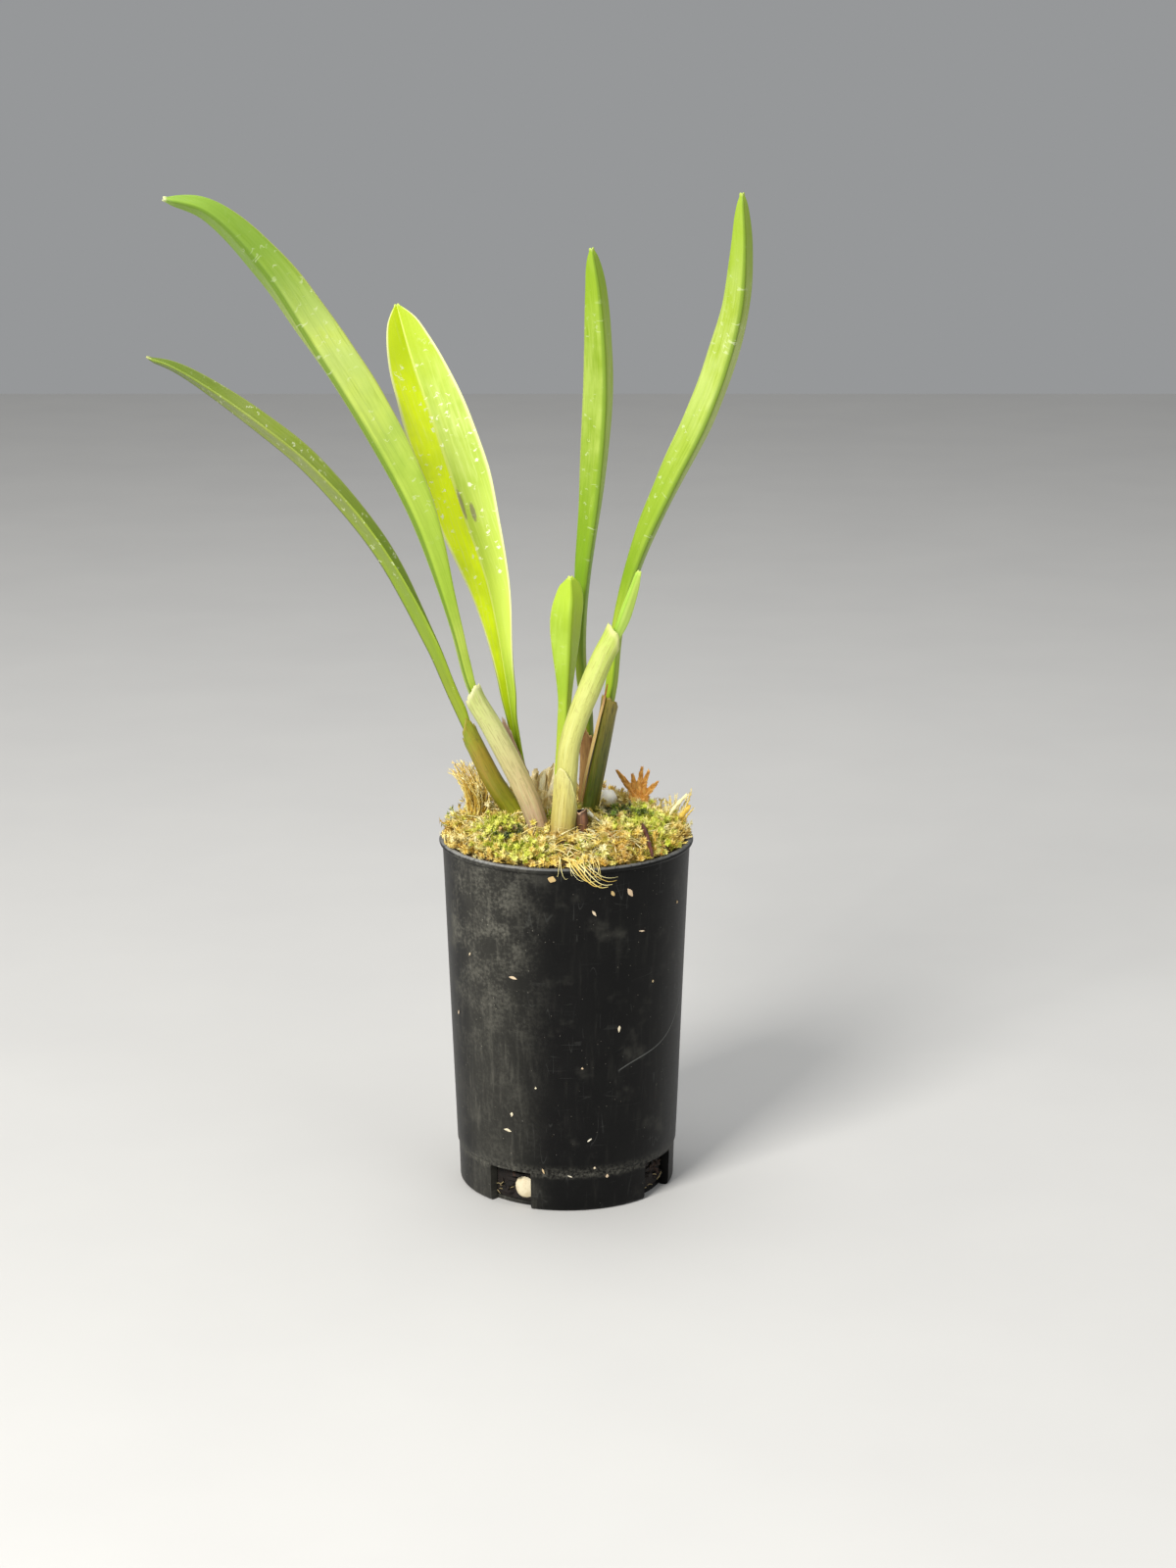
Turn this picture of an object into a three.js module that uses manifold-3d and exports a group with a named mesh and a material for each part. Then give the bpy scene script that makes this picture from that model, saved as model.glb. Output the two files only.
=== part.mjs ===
// Potted masdevallia orchid: seven leaves in papery sheaths, a creeping stem with roots, a plug of
// growing mix under a moss bed, and a round plastic nursery pot with a drain notch in each quarter.
// Millimetres, +Z up, origin at the centre of the pot's underside, front of the pot towards -Y.

import * as THREE from "three";
import { mergeVertices } from "three/addons/utils/BufferGeometryUtils.js";
import Module from "manifold-3d";

const wasm = await Module();
wasm.setup();

// Clearance between touching pieces
const gap = 0.3;

// Pot
const potHeight = 99;
const potBaseRadius = 30;
const potBeadRadius = 35;
const potWall = 1.2;
const potFloor = 1.2;
const potSegments = 36;
const stepHeight = 11.4;
const stepWidth = 0.4;
const wallTopRadius = 34.1;
const beadHeight = 1.7;
const potInnerTop = wallTopRadius - potWall;
const notchAngles = [-31.3, 58.7, 148.7, 238.7];
const notchWidth = 25;
const notchHeight = 10.6;
const notchDepth = 2.4;
const barkPerNotch = 4;

// Growing mix, moss bed and creeping stem
const mixTop = 97;
const bedBottom = mixTop + gap;
const bedRadius = 32.4;
const bedRim = 99.9;
const bedRise = 3.7;
const stemRadius = 1.9;

// Leaves
const leafRows = 18;
const stalkHalfWidth = 1.5;
const stalkSwellRun = 10;
const stalkRadius = 2.1;
const keelThickness = 1.7;
const marginThickness = 0.7;
const stalkThickness = 1;
const tipHalfWidth = 0.9;
const tipDent = 1.2;

// Sheaths
const sheathThickness = 0.6;
const sheathRows = 5;
const sheathColumns = 9;

const degrees = THREE.MathUtils.degToRad;
const lerp = THREE.MathUtils.lerp;
const clamp = THREE.MathUtils.clamp;
const vector = (x, y, z) => new THREE.Vector3(x, y, z);
const front = vector(0, -1, 0);

// Seeded random numbers between low and high
function randomSource(seed) {
  let state = seed;
  return (low, high) => {
    state = (state * 1664525 + 1013904223) % 4294967296;
    return low + (high - low) * (state / 4294967296);
  };
}

// Value between evenly spaced stations, for u from 0 to 1
function along(values, u) {
  if (values.length === 1) return values[0];
  const place = clamp(u, 0, 1) * (values.length - 1);
  const index = Math.min(Math.floor(place), values.length - 2);
  return lerp(values[index], values[index + 1], place - index);
}

function smooth(v) {
  const t = clamp(v, 0, 1);
  return t * t * (3 - 2 * t);
}

function spline(points) {
  const curve = new THREE.CatmullRomCurve3(points.map((p) => vector(...p)), false, "centripetal");
  curve.arcLengthDivisions = 400;
  return curve;
}

// Closed geometry of a list of triangles, turned so that its faces point out
function closedGeometry(triangles) {
  let volume = 0;
  for (const [a, b, c] of triangles) volume += a.dot(b.clone().cross(c));
  const positions = [];
  for (const [a, b, c] of triangles) {
    const corners = volume > 0 ? [a, b, c] : [a, c, b];
    for (const corner of corners) positions.push(corner.x, corner.y, corner.z);
  }
  const geometry = new THREE.BufferGeometry();
  geometry.setAttribute("position", new THREE.Float32BufferAttribute(positions, 3));
  return mergeVertices(geometry, 1e-4);
}

// Solid for cutting and joining
function solid(geometry) {
  const bare = geometry.clone();
  bare.deleteAttribute("normal");
  bare.deleteAttribute("uv");
  const merged = mergeVertices(bare, 1e-4);
  const mesh = new wasm.Mesh({
    numProp: 3,
    vertProperties: new Float32Array(merged.attributes.position.array),
    triVerts: new Uint32Array(merged.index.array),
  });
  return new wasm.Manifold(mesh);
}

// Geometry of a solid's largest body, without loose scraps
function largestBody(body) {
  const pieces = body.decompose();
  pieces.sort((a, b) => b.volume() - a.volume());
  const mesh = pieces[0].getMesh();
  const geometry = new THREE.BufferGeometry();
  geometry.setAttribute("position", new THREE.Float32BufferAttribute(mesh.vertProperties, 3));
  geometry.setIndex(Array.from(mesh.triVerts));
  return geometry;
}

function joined(solids) {
  return solids.reduce((total, next) => total.add(next));
}

function cutBy(body, tools) {
  return tools.length ? body.subtract(joined(tools)) : body;
}

// Thin closed body between two matching grids of points, split alike on both faces
function sheet(upper, lower) {
  const rows = upper.length;
  const columns = upper[0].length;
  const triangles = [];
  const quad = (a, b, c, d) => triangles.push([a, b, c], [a, c, d]);
  for (let i = 0; i < rows - 1; i++) {
    for (let j = 0; j < columns - 1; j++) {
      quad(upper[i][j], upper[i + 1][j], upper[i + 1][j + 1], upper[i][j + 1]);
      triangles.push([lower[i][j], lower[i + 1][j + 1], lower[i + 1][j]]);
      triangles.push([lower[i][j], lower[i][j + 1], lower[i + 1][j + 1]]);
    }
    quad(upper[i][0], lower[i][0], lower[i + 1][0], upper[i + 1][0]);
    const last = columns - 1;
    quad(upper[i][last], upper[i + 1][last], lower[i + 1][last], lower[i][last]);
  }
  for (let j = 0; j < columns - 1; j++) {
    quad(upper[0][j], upper[0][j + 1], lower[0][j + 1], lower[0][j]);
    const end = rows - 1;
    quad(upper[end][j], lower[end][j], lower[end][j + 1], upper[end][j + 1]);
  }
  return closedGeometry(triangles);
}

// Direction square to a tangent, at an angle round it that is 0 towards the front and 90 to the right
function facingDirection(tangent, angle) {
  const forward = front.clone().addScaledVector(tangent, -front.dot(tangent)).normalize();
  const right = tangent.clone().cross(forward);
  const turn = degrees(angle);
  return forward.multiplyScalar(Math.cos(turn)).addScaledVector(right, Math.sin(turn));
}

// Round strand through points, with a radius for each station and few sides
function strand(points, radii, sides, rows) {
  const curve = spline(points);
  const rings = [];
  for (let i = 0; i < rows; i++) {
    const u = i / (rows - 1);
    const centre = curve.getPoint(u);
    const tangent = curve.getTangent(u);
    const first = Math.abs(tangent.z) > 0.8 ? facingDirection(tangent, 0) : vector(0, 0, 1);
    first.addScaledVector(tangent, -first.dot(tangent)).normalize();
    const second = tangent.clone().cross(first);
    const radius = along(radii, u);
    const ring = [];
    for (let k = 0; k < sides; k++) {
      const turn = (2 * Math.PI * k) / sides;
      const point = centre.clone().addScaledVector(first, radius * Math.cos(turn));
      ring.push(point.addScaledVector(second, radius * Math.sin(turn)));
    }
    rings.push(ring);
  }
  const triangles = [];
  for (let i = 0; i < rows - 1; i++) {
    for (let k = 0; k < sides; k++) {
      const next = (k + 1) % sides;
      triangles.push([rings[i][k], rings[i][next], rings[i + 1][next]]);
      triangles.push([rings[i][k], rings[i + 1][next], rings[i + 1][k]]);
    }
  }
  for (let k = 1; k < sides - 1; k++) {
    triangles.push([rings[0][0], rings[0][k + 1], rings[0][k]]);
    triangles.push([rings[rows - 1][0], rings[rows - 1][k], rings[rows - 1][k + 1]]);
  }
  return solid(closedGeometry(triangles));
}

// Solid turned about the upright axis from a list of radii and heights
function turned(section, segments) {
  const outline = section.map(([r, z]) => new THREE.Vector2(r, z));
  return solid(new THREE.LatheGeometry(outline, segments).rotateX(Math.PI / 2));
}

// Pot: turned shell, cut by the drain notches, with thin returns at the sides and top of each notch
function notchBlock(angle, spread, depth, height) {
  const sector = new THREE.Shape();
  const half = degrees(notchWidth / 2 + spread);
  const inner = potBaseRadius - depth;
  const outer = potBaseRadius + 6;
  sector.absarc(0, 0, outer, -half, half, false);
  sector.absarc(0, 0, inner, half, -half, true);
  const options = { depth: height + 1, bevelEnabled: false, curveSegments: 4 };
  const block = new THREE.ExtrudeGeometry(sector, options);
  block.translate(0, 0, -1);
  block.rotateZ(degrees(angle - 90));
  return solid(block);
}

function potOutline() {
  const stepRadius = potBaseRadius + 0.3;
  return [
    [0, 0], [potBaseRadius - 1, 0], [potBaseRadius - 0.3, 0.3], [potBaseRadius, 1],
    [stepRadius, stepHeight], [stepRadius + stepWidth, stepHeight + 0.5],
    [wallTopRadius, potHeight - beadHeight],
  ];
}

function buildPot() {
  const bead = [];
  const beadCentre = potHeight - beadHeight / 2;
  for (let k = 0; k <= 5; k++) {
    const turn = degrees(-80 + 40 * k);
    const height = beadCentre + (beadHeight / 2) * Math.sin(turn);
    bead.push([potBeadRadius - 0.85 + 0.85 * Math.cos(turn), Math.min(height, potHeight)]);
  }
  const inside = [
    [potInnerTop, potHeight - 0.5], [potBaseRadius + 0.3 - potWall, 6],
    [potBaseRadius - potWall - 0.5, potFloor], [0, potFloor],
  ];
  const shell = turned([...potOutline(), ...bead, ...inside], potSegments);
  const envelope = turned([...potOutline(), [0, potHeight - beadHeight]], potSegments);
  const returnSpread = (potWall / potBaseRadius) * (180 / Math.PI);
  const housingHeight = notchHeight + potWall;
  const housings = notchAngles.map((angle) => notchBlock(angle, returnSpread, notchDepth, housingHeight));
  const openings = notchAngles.map((angle) => notchBlock(angle, 0, notchDepth + 0.5, notchHeight));
  const body = shell.add(joined(housings).intersect(envelope)).subtract(joined(openings));
  return largestBody(body);
}

// Leaves, each with the centre line of its upper face, the way that face looks, its fold and its outline.
// A stalk swells to stalkHalf above its sheath, from swellFrom along the leaf.
const leafPlans = {
  leaf_1: {
    spine: [
      [-6.5, -8.5, 99.7], [-10.2, -9, 111.5], [-19.3, -9.5, 130.5], [-25.4, -10, 142], [-30.2, -11, 160],
      [-39.6, -13, 189], [-50.6, -15, 211], [-65.6, -18, 236.5], [-78, -20.5, 256.3],
      [-91.8, -24, 271], [-103, -25, 274.4],
    ],
    facing: [160, 158, 155, 154, 154, 166, 175], fold: [55, 58, 62, 60, 60, 57, 56],
    halfWidth: 10.2, bladeStart: 0.275, widest: 0.64, tipPower: 1.7, swellFrom: 54, stalkHalf: 2.2,
    colour: 0x8d9a4c,
  },
  leaf_2: {
    spine: [
      [-11.5, 4, 99.7], [-15.5, 4.5, 106], [-20.4, 5, 113.6], [-31.2, 7, 136], [-37.4, 8, 151],
      [-50.9, 10, 176.3], [-69.4, 12, 198.4], [-82.4, 12, 209.8], [-95.3, 12, 219.6],
      [-105.6, 12, 226.2], [-113.3, 12, 229.4],
    ],
    facing: [110, 100, 95, 92, 90, 88, 90], fold: [55, 48, 36, 28, 24, 22, 20],
    halfWidth: 8.6, bladeStart: 0.24, widest: 0.66, tipPower: 2, swellFrom: 37, stalkHalf: 3.3,
    colour: 0x7d8a3c,
  },
  leaf_3: {
    spine: [
      [-6.5, 2, 99.7], [-8.6, 2, 107.4], [-12, 2, 115.7], [-14.8, 3, 130.7], [-16.7, 5, 142.7],
      [-21.2, 9, 166.5], [-27.8, 13, 186.1], [-35.8, 17, 209.7], [-42.1, 21, 227.9], [-46.2, 24, 242.4],
    ],
    facing: [5, 5, 7, 10, 15, 14, 8], fold: [55, 56, 53, 49, 45, 46, 44],
    halfWidth: 12, bladeStart: 0.26, widest: 0.7, tipPower: 2.2, swellFrom: 37, stalkHalf: 2.9,
    colour: 0xa9b83a,
  },
  leaf_4: {
    spine: [
      [5.5, 12, 99.7], [6.2, 12, 112], [6.1, 12, 129.5], [4.5, 11, 141.6], [4.3, 9.5, 155.5],
      [5.2, 8, 169.4], [8.4, 6, 194], [10.2, 4, 220.9], [8.8, 2, 247.2], [6.9, 0, 259.8],
    ],
    facing: [190, 192, 196, 198, 197, 195, 190], fold: [55, 58, 62, 65, 65, 63, 55],
    halfWidth: 8.2, bladeStart: 0.3, widest: 0.72, tipPower: 1.7, swellFrom: 30, stalkHalf: 2.0,
    colour: 0x8f9d45,
  },
  leaf_5: {
    spine: [
      [5.6, 5, 99.7], [7.8, 5.5, 112], [10.5, 5.5, 127], [12.6, 5, 139.9], [14.2, 5, 155], [17.2, 5, 167.3],
      [22, 4, 181], [29.3, 3, 196.7], [37, 2, 212.5], [42.6, 2, 227.7], [46.3, 1, 243.4],
      [47.2, 0, 259], [46.5, 0, 274.2],
    ],
    facing: [185, 188, 192, 195, 194, 192, 188], fold: [55, 58, 62, 64, 64, 63, 55],
    halfWidth: 8.4, bladeStart: 0.3, widest: 0.68, tipPower: 1.8, swellFrom: 41, stalkHalf: 2.3,
    colour: 0x95a24a,
  },
  leaf_6: {
    spine: [
      [-0.8, -3.5, 99.7], [-1.2, -3, 114], [-0.6, -2.5, 125], [0, -2, 137.4], [0.4, -1, 148],
      [0.9, -0.5, 159], [1.5, 0, 165.5], [1.3, 0.3, 171.8],
    ],
    facing: [195, 196, 197, 197, 197, 196, 190], fold: [55, 56, 55, 53, 50, 48, 44],
    halfWidth: 5.8, bladeStart: 0.5, widest: 0.83, tipPower: 2, swellFrom: 8, stalkHalf: 2.3,
    colour: 0x93a24c,
  },
  leaf_7: {
    spine: [
      [-1.3, -13, 99.7], [-0.3, -12.2, 111.1], [0.3, -11.8, 119.3], [1.1, -11.4, 127.3],
      [3.5, -10.9, 135.4],
      [6.7, -10.3, 143.3], [10.1, -9.8, 151.4], [13.5, -9.3, 158], [16.1, -9, 164.7], [19.8, -9, 175],
    ],
    facing: [150, 150, 150, 150, 150, 150, 150], fold: [58, 60, 62, 64, 66, 68, 62],
    halfWidth: 2.9, bladeStart: 0.72, widest: 0.84, tipPower: 1.2, swellFrom: 0, stalkHalf: 1.5,
    colour: 0x9fae5e,
  },
};

function bladeHalfWidth(plan, u, length) {
  if (u < plan.widest) {
    const swell = smooth((u * length - plan.swellFrom) / stalkSwellRun);
    const rise = smooth((u - plan.bladeStart) / (plan.widest - plan.bladeStart));
    return lerp(lerp(stalkHalfWidth, plan.stalkHalf, swell), plan.halfWidth, rise ** 0.8);
  }
  const v = (u - plan.widest) / (1 - plan.widest);
  return Math.max(plan.halfWidth * (1 - v ** plan.tipPower) ** 0.62, tipHalfWidth);
}

// Stations closer together towards the tip
function leafStation(row) {
  const v = row / (leafRows - 1);
  return v < 0.25 ? v * 1.1 : 1 - (1 - v) ** 1.25 * (0.725 / 0.75 ** 1.25);
}

function buildLeaf(plan) {
  const curve = spline(plan.spine);
  const length = curve.getLength();
  const shares = [-1, -0.5, 0, 0.5, 1];
  const upper = [];
  const lower = [];
  for (let i = 0; i < leafRows; i++) {
    const u = leafStation(i);
    const half = bladeHalfWidth(plan, u, length);
    const fold = degrees(along(plan.fold, u));
    const bladeShare = smooth((u - plan.bladeStart) / 0.2);
    const keel = lerp(stalkThickness, keelThickness, bladeShare) * (1 - 0.45 * smooth((u - 0.8) / 0.2));
    const margin = lerp(stalkThickness, marginThickness, bladeShare);
    const upperRow = [];
    const lowerRow = [];
    for (const share of shares) {
      const reach = Math.abs(share);
      const dent = (tipDent / length) * (1 - reach) * smooth((u - 0.9) / 0.1);
      const place = Math.max(u - dent, 0);
      const centre = curve.getPointAt(place);
      const tangent = curve.getTangentAt(place);
      const up = facingDirection(tangent, along(plan.facing, u));
      const across = tangent.clone().cross(up);
      const side = Math.sign(share);
      const run = half * reach * Math.cos(fold) * (1 + 0.12 * reach * bladeShare);
      const lift = half * reach * Math.sin(fold) * (1 - 0.16 * reach * bladeShare);
      const point = centre.clone().addScaledVector(across, side * run).addScaledVector(up, lift);
      const thickness = side === 0 ? keel : lerp(keel * 0.75, margin, reach);
      const under = point.clone();
      under.addScaledVector(up, -thickness * (side === 0 ? 1 : Math.cos(fold)));
      under.addScaledVector(across, side * thickness * Math.sin(fold));
      upperRow.push(point);
      lowerRow.push(under);
    }
    upper.push(upperRow);
    lower.push(lowerRow);
  }
  return sheet(upper, lower);
}

// Sheaths: a wrap round a stalk between two distances up it, with an oblique or pointed mouth
const sheathPlans = {
  sheath_1: {
    leaf: "leaf_1", from: 1.5, to: 48, drop: 7,
    radius: [2.9, 3, 3, 2.95], wrap: 335, facing: 40, seed: 11, colour: 0xb3b594,
  },
  sheath_2: {
    leaf: "leaf_2", from: 1.5, to: 34, drop: 9,
    radius: [2.7, 2.8, 2.8, 2.9], wrap: 330, facing: 20, seed: 12, colour: 0x8c8654,
  },
  sheath_3: {
    leaf: "leaf_3", from: 4, to: 34, drop: 17,
    radius: [2.6, 2.6, 2.7, 2.7], wrap: 215, facing: -60, seed: 13, colour: 0xb09a80,
  },
  sheath_4: {
    leaf: "leaf_7", from: 1.5, to: 63, drop: 8,
    radius: [2.9, 2.9, 2.9, 3.1, 3.0], wrap: 338, facing: -60, seed: 14, colour: 0xc7c7a0,
  },
  sheath_4_outer: {
    leaf: "leaf_7", from: 2, to: 22, drop: 13,
    radius: [3.8, 3.8, 3.9], wrap: 230, facing: -30, seed: 15, colour: 0xa8a27a,
  },
  sheath_5: {
    leaf: "leaf_5", from: 1.5, to: 38, drop: 5,
    radius: [2.8, 2.8, 2.7, 2.7], wrap: 335, facing: -30, seed: 16, colour: 0x7d7742,
  },
  sheath_6: {
    leaf: "leaf_4", from: 3, to: 27, drop: 15,
    radius: [2.6, 2.6, 2.6], wrap: 240, facing: -20, seed: 17, colour: 0x8a6b45,
  },
};

function buildSheath(plan) {
  const curve = spline(leafPlans[plan.leaf].spine);
  const length = curve.getLength();
  const random = randomSource(plan.seed);
  const upper = [];
  const lower = [];
  const rags = Array.from({ length: sheathColumns }, () => random(-0.6, 0.6));
  for (let i = 0; i < sheathRows; i++) {
    const upperRow = [];
    const lowerRow = [];
    for (let j = 0; j < sheathColumns; j++) {
      const side = (2 * j) / (sheathColumns - 1) - 1;
      const mouth = plan.to - plan.drop * Math.abs(side) ** 1.5 + rags[j];
      const share = i / (sheathRows - 1);
      const place = lerp(plan.from, mouth, share) / length;
      const tangent = curve.getTangentAt(place);
      const outward = facingDirection(tangent, plan.facing + (side * plan.wrap) / 2);
      const radius = along(plan.radius, share);
      const centre = curve.getPointAt(place);
      upperRow.push(centre.clone().addScaledVector(outward, radius));
      lowerRow.push(centre.clone().addScaledVector(outward, radius - sheathThickness));
    }
    upper.push(upperRow);
    lower.push(lowerRow);
  }
  return sheet(upper, lower);
}

// Plain round hole where a stalk stands in the moss
function stalkHole(leafName, radius) {
  const points = leafPlans[leafName].spine.slice(0, 3);
  const base = vector(...points[0]);
  const rise = vector(...points[1]).sub(base).normalize();
  const low = base.clone().addScaledVector(rise, -5);
  return strand([low.toArray(), ...points], [(radius + gap) / Math.cos(Math.PI / 10)], 10, 6);
}

// Creeping stem with a short branch to each stalk and roots down into the mix
const creepingStem = [[-13, 4, 97.3], [-6.5, 2, 97], [-0.8, -3.5, 97.2], [5.6, 5, 97.3], [5.5, 13.5, 97.3]];
const stemBranches = [
  [[-4, 0, 97.2], [-6.6, -9.8, 97.3]],
  [[-0.8, -3.5, 97.2], [-1.2, -14.2, 97.3]],
];
const rootPaths = [
  [[-11, 4, 97], [-17, 8, 84], [-20, 4, 62], [-17, 9, 40]],
  [[-6, -8, 97], [-11, -16, 82], [-9, -21, 58], [-14, -18, 36]],
  [[-1, -12, 97], [3, -18, 80], [2, -22, 52], [8, -20, 28]],
  [[5, 6, 97], [14, 4, 83], [19, -3, 60], [17, -8, 38]],
  [[5.5, 12, 97], [9, 19, 80], [6, 23, 55], [12, 20, 33]],
];

function creepingStemSolid(grow) {
  const pieces = [strand(creepingStem, [stemRadius + grow], 7, 9)];
  for (const branch of stemBranches) pieces.push(strand(branch, [stemRadius - 0.1 + grow], 7, 2));
  for (const path of rootPaths) pieces.push(strand(path, [1.1 + grow, 0.9 + grow, 0.7 + grow], 5, 5));
  return joined(pieces);
}

// Height of the moss bed, with lumps from a few waves
function bedHeight(x, y) {
  const reach = Math.min(Math.hypot(x, y) / bedRadius, 1);
  const dome = bedRise * (1 - reach ** 2.2);
  const lumps = 0.6 * Math.sin(0.42 * x + 1.1) * Math.cos(0.37 * y - 0.6);
  const knobs = 0.8 * Math.sin(1.35 * x - 0.6 * y + 0.4) * Math.cos(1.2 * y + 0.45 * x);
  const backRise = 1.1 * smooth((y - 4) / 24) * (1 - reach ** 6);
  return bedRim + dome + backRise + (lumps + knobs) * (1 - 0.5 * reach ** 4);
}

// Disc with a flat underside whose top follows the bed's height
function bedSolid(raise) {
  const ringRadii = [0.14, 0.3, 0.45, 0.58, 0.7, 0.81, 0.91, 1].map((share) => share * bedRadius);
  const section = [[0, bedBottom], [bedRadius, bedBottom]];
  section.push(...ringRadii.toReversed().map((radius) => [radius, bedRim]), [0, bedRim]);
  const geometry = new THREE.LatheGeometry(section.map(([r, z]) => new THREE.Vector2(r, z)), 28);
  geometry.rotateX(Math.PI / 2);
  const position = geometry.attributes.position;
  for (let i = 0; i < position.count; i++) {
    if (position.getZ(i) > bedBottom + 1) {
      position.setZ(i, bedHeight(position.getX(i), position.getY(i)) + raise);
    }
  }
  return solid(geometry);
}

// One curved moss strand, its root sunk in the bed
function mossStrand(x, y, heading, length, lean, radius, raise) {
  const root = bedHeight(x, y) + raise - 1.1;
  const points = [0, 0.5, 1].map((share) => {
    const reach = length * share * Math.cos(lean);
    const turn = heading + 0.5 * share;
    const rise = length * share * Math.sin(lean) * (1.35 - 0.35 * share) + 0.6 * share;
    return [x + reach * Math.cos(turn), y + reach * Math.sin(turn), root + rise];
  });
  return strand(points, [radius, radius * 0.95, radius * 0.55], 3, 3);
}

// Moss patches: outline in plan as centre, half sizes and turn
const patchPlans = {
  moss_green_right: {
    centre: [21, -1], half: [8.2, 12.5], turn: -8,
    count: 26, seed: 31, colour: 0x7f8a2c,
  },
  moss_green_left: {
    centre: [-17.6, -9], half: [4.6, 7.5], turn: 14,
    count: 12, seed: 32, colour: 0x8b9433,
  },
  moss_green_front: {
    centre: [-12.5, -24.6], half: [8.4, 3.9], turn: -24,
    count: 13, seed: 33, colour: 0x94993a,
  },
};

function patchPrism(plan, grow) {
  const corners = [];
  for (let k = 0; k < 14; k++) {
    const turn = (2 * Math.PI * k) / 14;
    const wobble = 1 + 0.07 * Math.sin(3 * turn + plan.seed);
    const a = (plan.half[0] * wobble + grow) * Math.cos(turn);
    const b = (plan.half[1] * wobble + grow) * Math.sin(turn);
    const slope = degrees(plan.turn);
    corners.push(new THREE.Vector2(
      plan.centre[0] + a * Math.cos(slope) - b * Math.sin(slope),
      plan.centre[1] + a * Math.sin(slope) + b * Math.cos(slope),
    ));
  }
  const prism = new THREE.ExtrudeGeometry(new THREE.Shape(corners), { depth: 40, bevelEnabled: false });
  prism.translate(0, 0, bedBottom - 10);
  return solid(prism);
}

function buildPatch(plan, tools) {
  const random = randomSource(plan.seed);
  const pieces = [bedSolid(0.5)];
  const slope = degrees(plan.turn);
  for (let k = 0; k < plan.count; k++) {
    const share = Math.sqrt((k + 0.5) / plan.count) * 0.92;
    const turn = k * 2.39996 + random(-0.3, 0.3);
    const a = plan.half[0] * share * Math.cos(turn);
    const b = plan.half[1] * share * Math.sin(turn);
    const x = plan.centre[0] + a * Math.cos(slope) - b * Math.sin(slope);
    const y = plan.centre[1] + a * Math.sin(slope) + b * Math.cos(slope);
    const lean = degrees(random(25, 75));
    pieces.push(mossStrand(x, y, random(0, 2 * Math.PI), random(2.8, 4.4), lean, random(0.8, 1.1), 0.5));
  }
  return largestBody(cutBy(joined(pieces).intersect(patchPrism(plan, 0)), tools));
}

function buildGoldenBed(tools) {
  const random = randomSource(21);
  const pieces = [bedSolid(0)];
  const count = 52;
  for (let k = 0; k < count; k++) {
    const reach = Math.sqrt((k + 0.5) / count) * (bedRadius - 1.2);
    const turn = k * 2.39996;
    const x = reach * Math.cos(turn);
    const y = reach * Math.sin(turn);
    const inward = turn + Math.PI + random(-1.3, 1.3);
    const heading = reach > 0.72 * bedRadius ? inward : random(0, 2 * Math.PI);
    const lean = degrees(y > 12 ? random(15, 60) : random(6, 38));
    pieces.push(mossStrand(x, y, heading, random(6, 10), lean, random(0.75, 1.1), 0));
  }
  return largestBody(cutBy(joined(pieces), tools));
}

// Bunch of strands that spring from one root and end at given tips
function bunchSolid(plan, grow) {
  const root = vector(...plan.root);
  const pieces = plan.tips.map((tip, index) => {
    const end = vector(...tip);
    const start = root.clone().lerp(vector(end.x, end.y, root.z), 0.22);
    const bow = vector(Math.sin(index * 2.1), Math.cos(index * 1.7), 0).multiplyScalar(plan.bow);
    const middle = start.clone().lerp(end, 0.5).add(bow);
    if (grow > 0) end.addScaledVector(end.clone().sub(middle).normalize(), grow);
    const radii = plan.radii.map((radius) => radius + grow);
    return strand([start.toArray(), middle.toArray(), end.toArray()], radii, plan.sides, 3);
  });
  const foot = root.clone().setZ(root.z - 3);
  pieces.push(strand([foot.toArray(), plan.root], [plan.core + grow, plan.core * 0.8 + grow], 7, 2));
  return joined(pieces);
}

const bunchPlans = {
  dry_tuft: {
    root: [-25, 7, 103.4], core: 3.4, radii: [0.95, 0.9, 0.5], sides: 4, bow: 1.1, colour: 0xb08a4a,
    tips: [
      [-31.8, 8, 116], [-29.6, 8.4, 118.6], [-27, 9, 117], [-24.4, 9, 119.3], [-22.4, 8.4, 115.6],
      [-29.4, 5, 112.4], [-26, 4.6, 113.4], [-32, 10, 111], [-28.5, 12.5, 114.2], [-24, 12.5, 114.5],
      [-30.8, 3.4, 108], [-25.6, 1.8, 108.6],
    ],
  },
  papery_clump: {
    root: [-6.2, 8.8, 104], core: 2.6, radii: [1.3, 1.5, 0.7], sides: 4, bow: 0.7, colour: 0xcdbb96,
    tips: [
      [-10.2, 10, 112.6], [-8.4, 12.4, 114.6], [-5.6, 10.6, 114.2], [-3.6, 12.8, 116], [-2, 9.6, 111.6],
      [-7.4, 7.4, 110.4], [-4.2, 7.2, 109.2], [-11.2, 13, 109.6],
    ],
  },
  rim_sprigs: {
    root: [29.4, 3.4, 102.6], core: 1.7, radii: [0.7, 0.65, 0.4], sides: 3, bow: 0.6, colour: 0xc9b98e,
    tips: [
      [34.6, 2.4, 110.8], [33.4, 4.4, 109], [30.6, 8.4, 108.2], [27.6, 8.8, 106], [34.8, 0, 106.4],
      [32.8, -2.4, 104.4], [28.6, 6, 108.4], [31.6, 11, 105.6],
    ],
  },
};

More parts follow.
